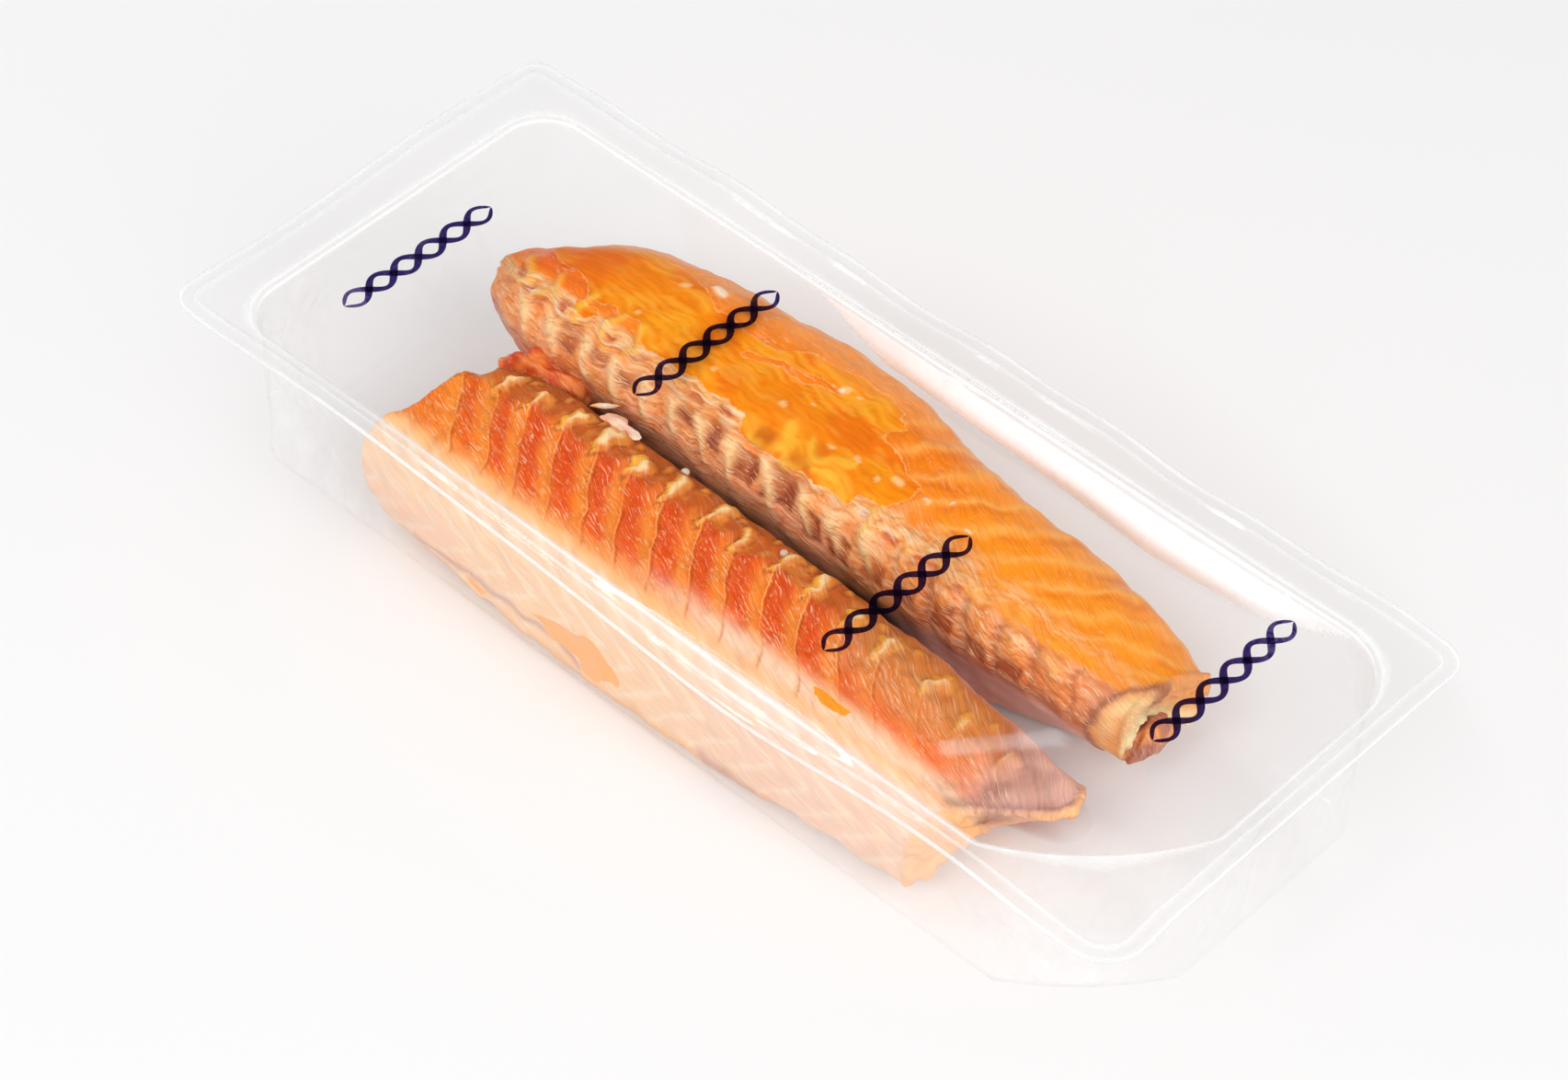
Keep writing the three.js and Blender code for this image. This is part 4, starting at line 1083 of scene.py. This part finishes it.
def printed_wave(middle_x, middle_y, phase):
    stroke, places = new_grid("stroke", 96, 2)
    along, across = places[:, 0], places[:, 1]
    angle = along * PRINT_LENGTH / 2 / PRINT_WAVE * 2 * math.pi + phase
    slope = PRINT_SWING * 2 * math.pi / PRINT_WAVE * np.cos(angle)
    taper = np.sqrt(np.maximum(1 - np.abs(along) ** 6, 0.0))
    half = PRINT_STROKE * taper * (0.75 + 0.35 * np.cos(angle) ** 2)
    y = middle_y + along * PRINT_LENGTH / 2 - across * half * slope / np.hypot(1, slope)
    x = middle_x + PRINT_SWING * np.sin(angle) + across * half / np.hypot(1, slope)
    z = LID_MIDDLE + LID_FILM / 2 + INK + lid_rise(x, y) + rim_lift(x, y)
    set_points(stroke, np.column_stack([x, y, z]))
    return stroke


strokes = [printed_wave(x, y, phase) for x, y in PRINT_PLACES for phase in (0, math.pi)]
lid_print = joined(strokes, "lid_print")
apply_modifier(lid_print, "ink", "SOLIDIFY", thickness=INK * MM, offset=1)

# Flexographic ink: a thin layer of transparent dye ink, so it darkens whatever lies under it.
made, node = new_material("violet_printing_ink")
where = node("TexCoord").outputs["Object"]
speckle = node("TexNoise", {"Vector": where, "Scale": 900, "Detail": 2})
dyed = node("Mix", {0: speckle, 6: linear("#8a7ab2"), 7: linear("#7868a4")}, data_type="RGBA")
dye = node("BsdfTransparent", {"Color": dyed})
body = node("BsdfPrincipled", {"Base Color": linear("#1c1233"), "Roughness": 0.45, "IOR": 1.3})
node("OutputMaterial", {"Surface": node("MixShader", (0.12, dye, body))})
lid_print.data.materials.append(made)
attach(lid_print, "root")

# ==== Studio ====
# A plain pale table in soft, bright light, seen from above one corner.
select()
bpy.ops.mesh.primitive_plane_add(size=6, location=(0, 0, -0.0002))
table = bpy.context.object
table.name = "table"
made, node = new_material("white_paper")
where = node("TexCoord").outputs["Object"]
cloud = node("TexNoise", {"Vector": where, "Scale": 3})
paper = node("Mix", {0: cloud, 6: linear("#f0efef"), 7: linear("#f1f1f1")}, data_type="RGBA")
node("OutputMaterial", {"Surface": node("BsdfDiffuse", {"Color": paper, "Roughness": 0.5})})
table.data.materials.append(made)

# The surround is white above and grey towards the horizon, with a grey flag where a flat lid would
# mirror it to the camera.
world = bpy.data.worlds.new("soft_white_surround")
bpy.context.scene.world = world
world.use_nodes = True
node = adder(world.node_tree)
towards = node("TexCoord").outputs["Generated"]
to_flag = node("VectorMath", (towards, (-0.463, 0.302, 0.833)), operation="DOT_PRODUCT")
to_top = node("VectorMath", (towards, (0, 0, 1)), operation="DOT_PRODUCT")
flagged = node("MapRange", (to_flag.outputs["Value"], 0.68, 0.9, 1.0, 0.36))
height = node("MapRange", (to_top.outputs["Value"], 0.0, 0.55, 0.26, 0.8))
brightness = node("Math", (flagged, height), operation="MULTIPLY")
sky = node("Background", {"Color": (1.0, 0.998, 0.998, 1), "Strength": brightness})
node("OutputWorld", {"Surface": sky})


def soft_box(name, towards, distance, width, height, watts):
    light = bpy.data.lights.new(name, "AREA")
    light.shape = "RECTANGLE"
    light.size = width
    light.size_y = height
    light.energy = watts
    lamp = bpy.data.objects.new(name, light)
    bpy.context.scene.collection.objects.link(lamp)
    direction = Vector(towards).normalized()
    lamp.location = direction * distance
    lamp.rotation_euler = direction.to_track_quat("Z", "Y").to_euler()


soft_box("low_strip", (-0.47, -0.72, 0.50), 1.4, 0.8, 0.06, 3.0)
soft_box("overhead", (-0.45, -0.10, 0.88), 1.4, 0.16, 0.16, 1.25)
soft_box("key", (0.20, -0.60, 0.75), 1.5, 0.5, 0.5, 3.6)
soft_box("fill", (0.80, -0.10, 0.52), 1.7, 1.2, 1.2, 11.5)

camera_data = bpy.data.cameras.new("camera")
camera_data.sensor_width = 36
camera_data.lens = 110.2
camera = bpy.data.objects.new("camera", camera_data)
bpy.context.scene.collection.objects.link(camera)
right = Vector((0.7262, 0.6875, 0.0052))
up = Vector((-0.4999, 0.5228, 0.6905))
turn = Matrix((right, up, right.cross(up))).transposed().to_4x4()
camera.matrix_world = Matrix.Translation(Vector((519.9, -559.3, 829.8)) * MM) @ turn
bpy.context.scene.camera = camera
bpy.context.scene.view_settings.view_transform = "Standard"
bpy.context.scene.cycles.transparent_max_bounces = 32
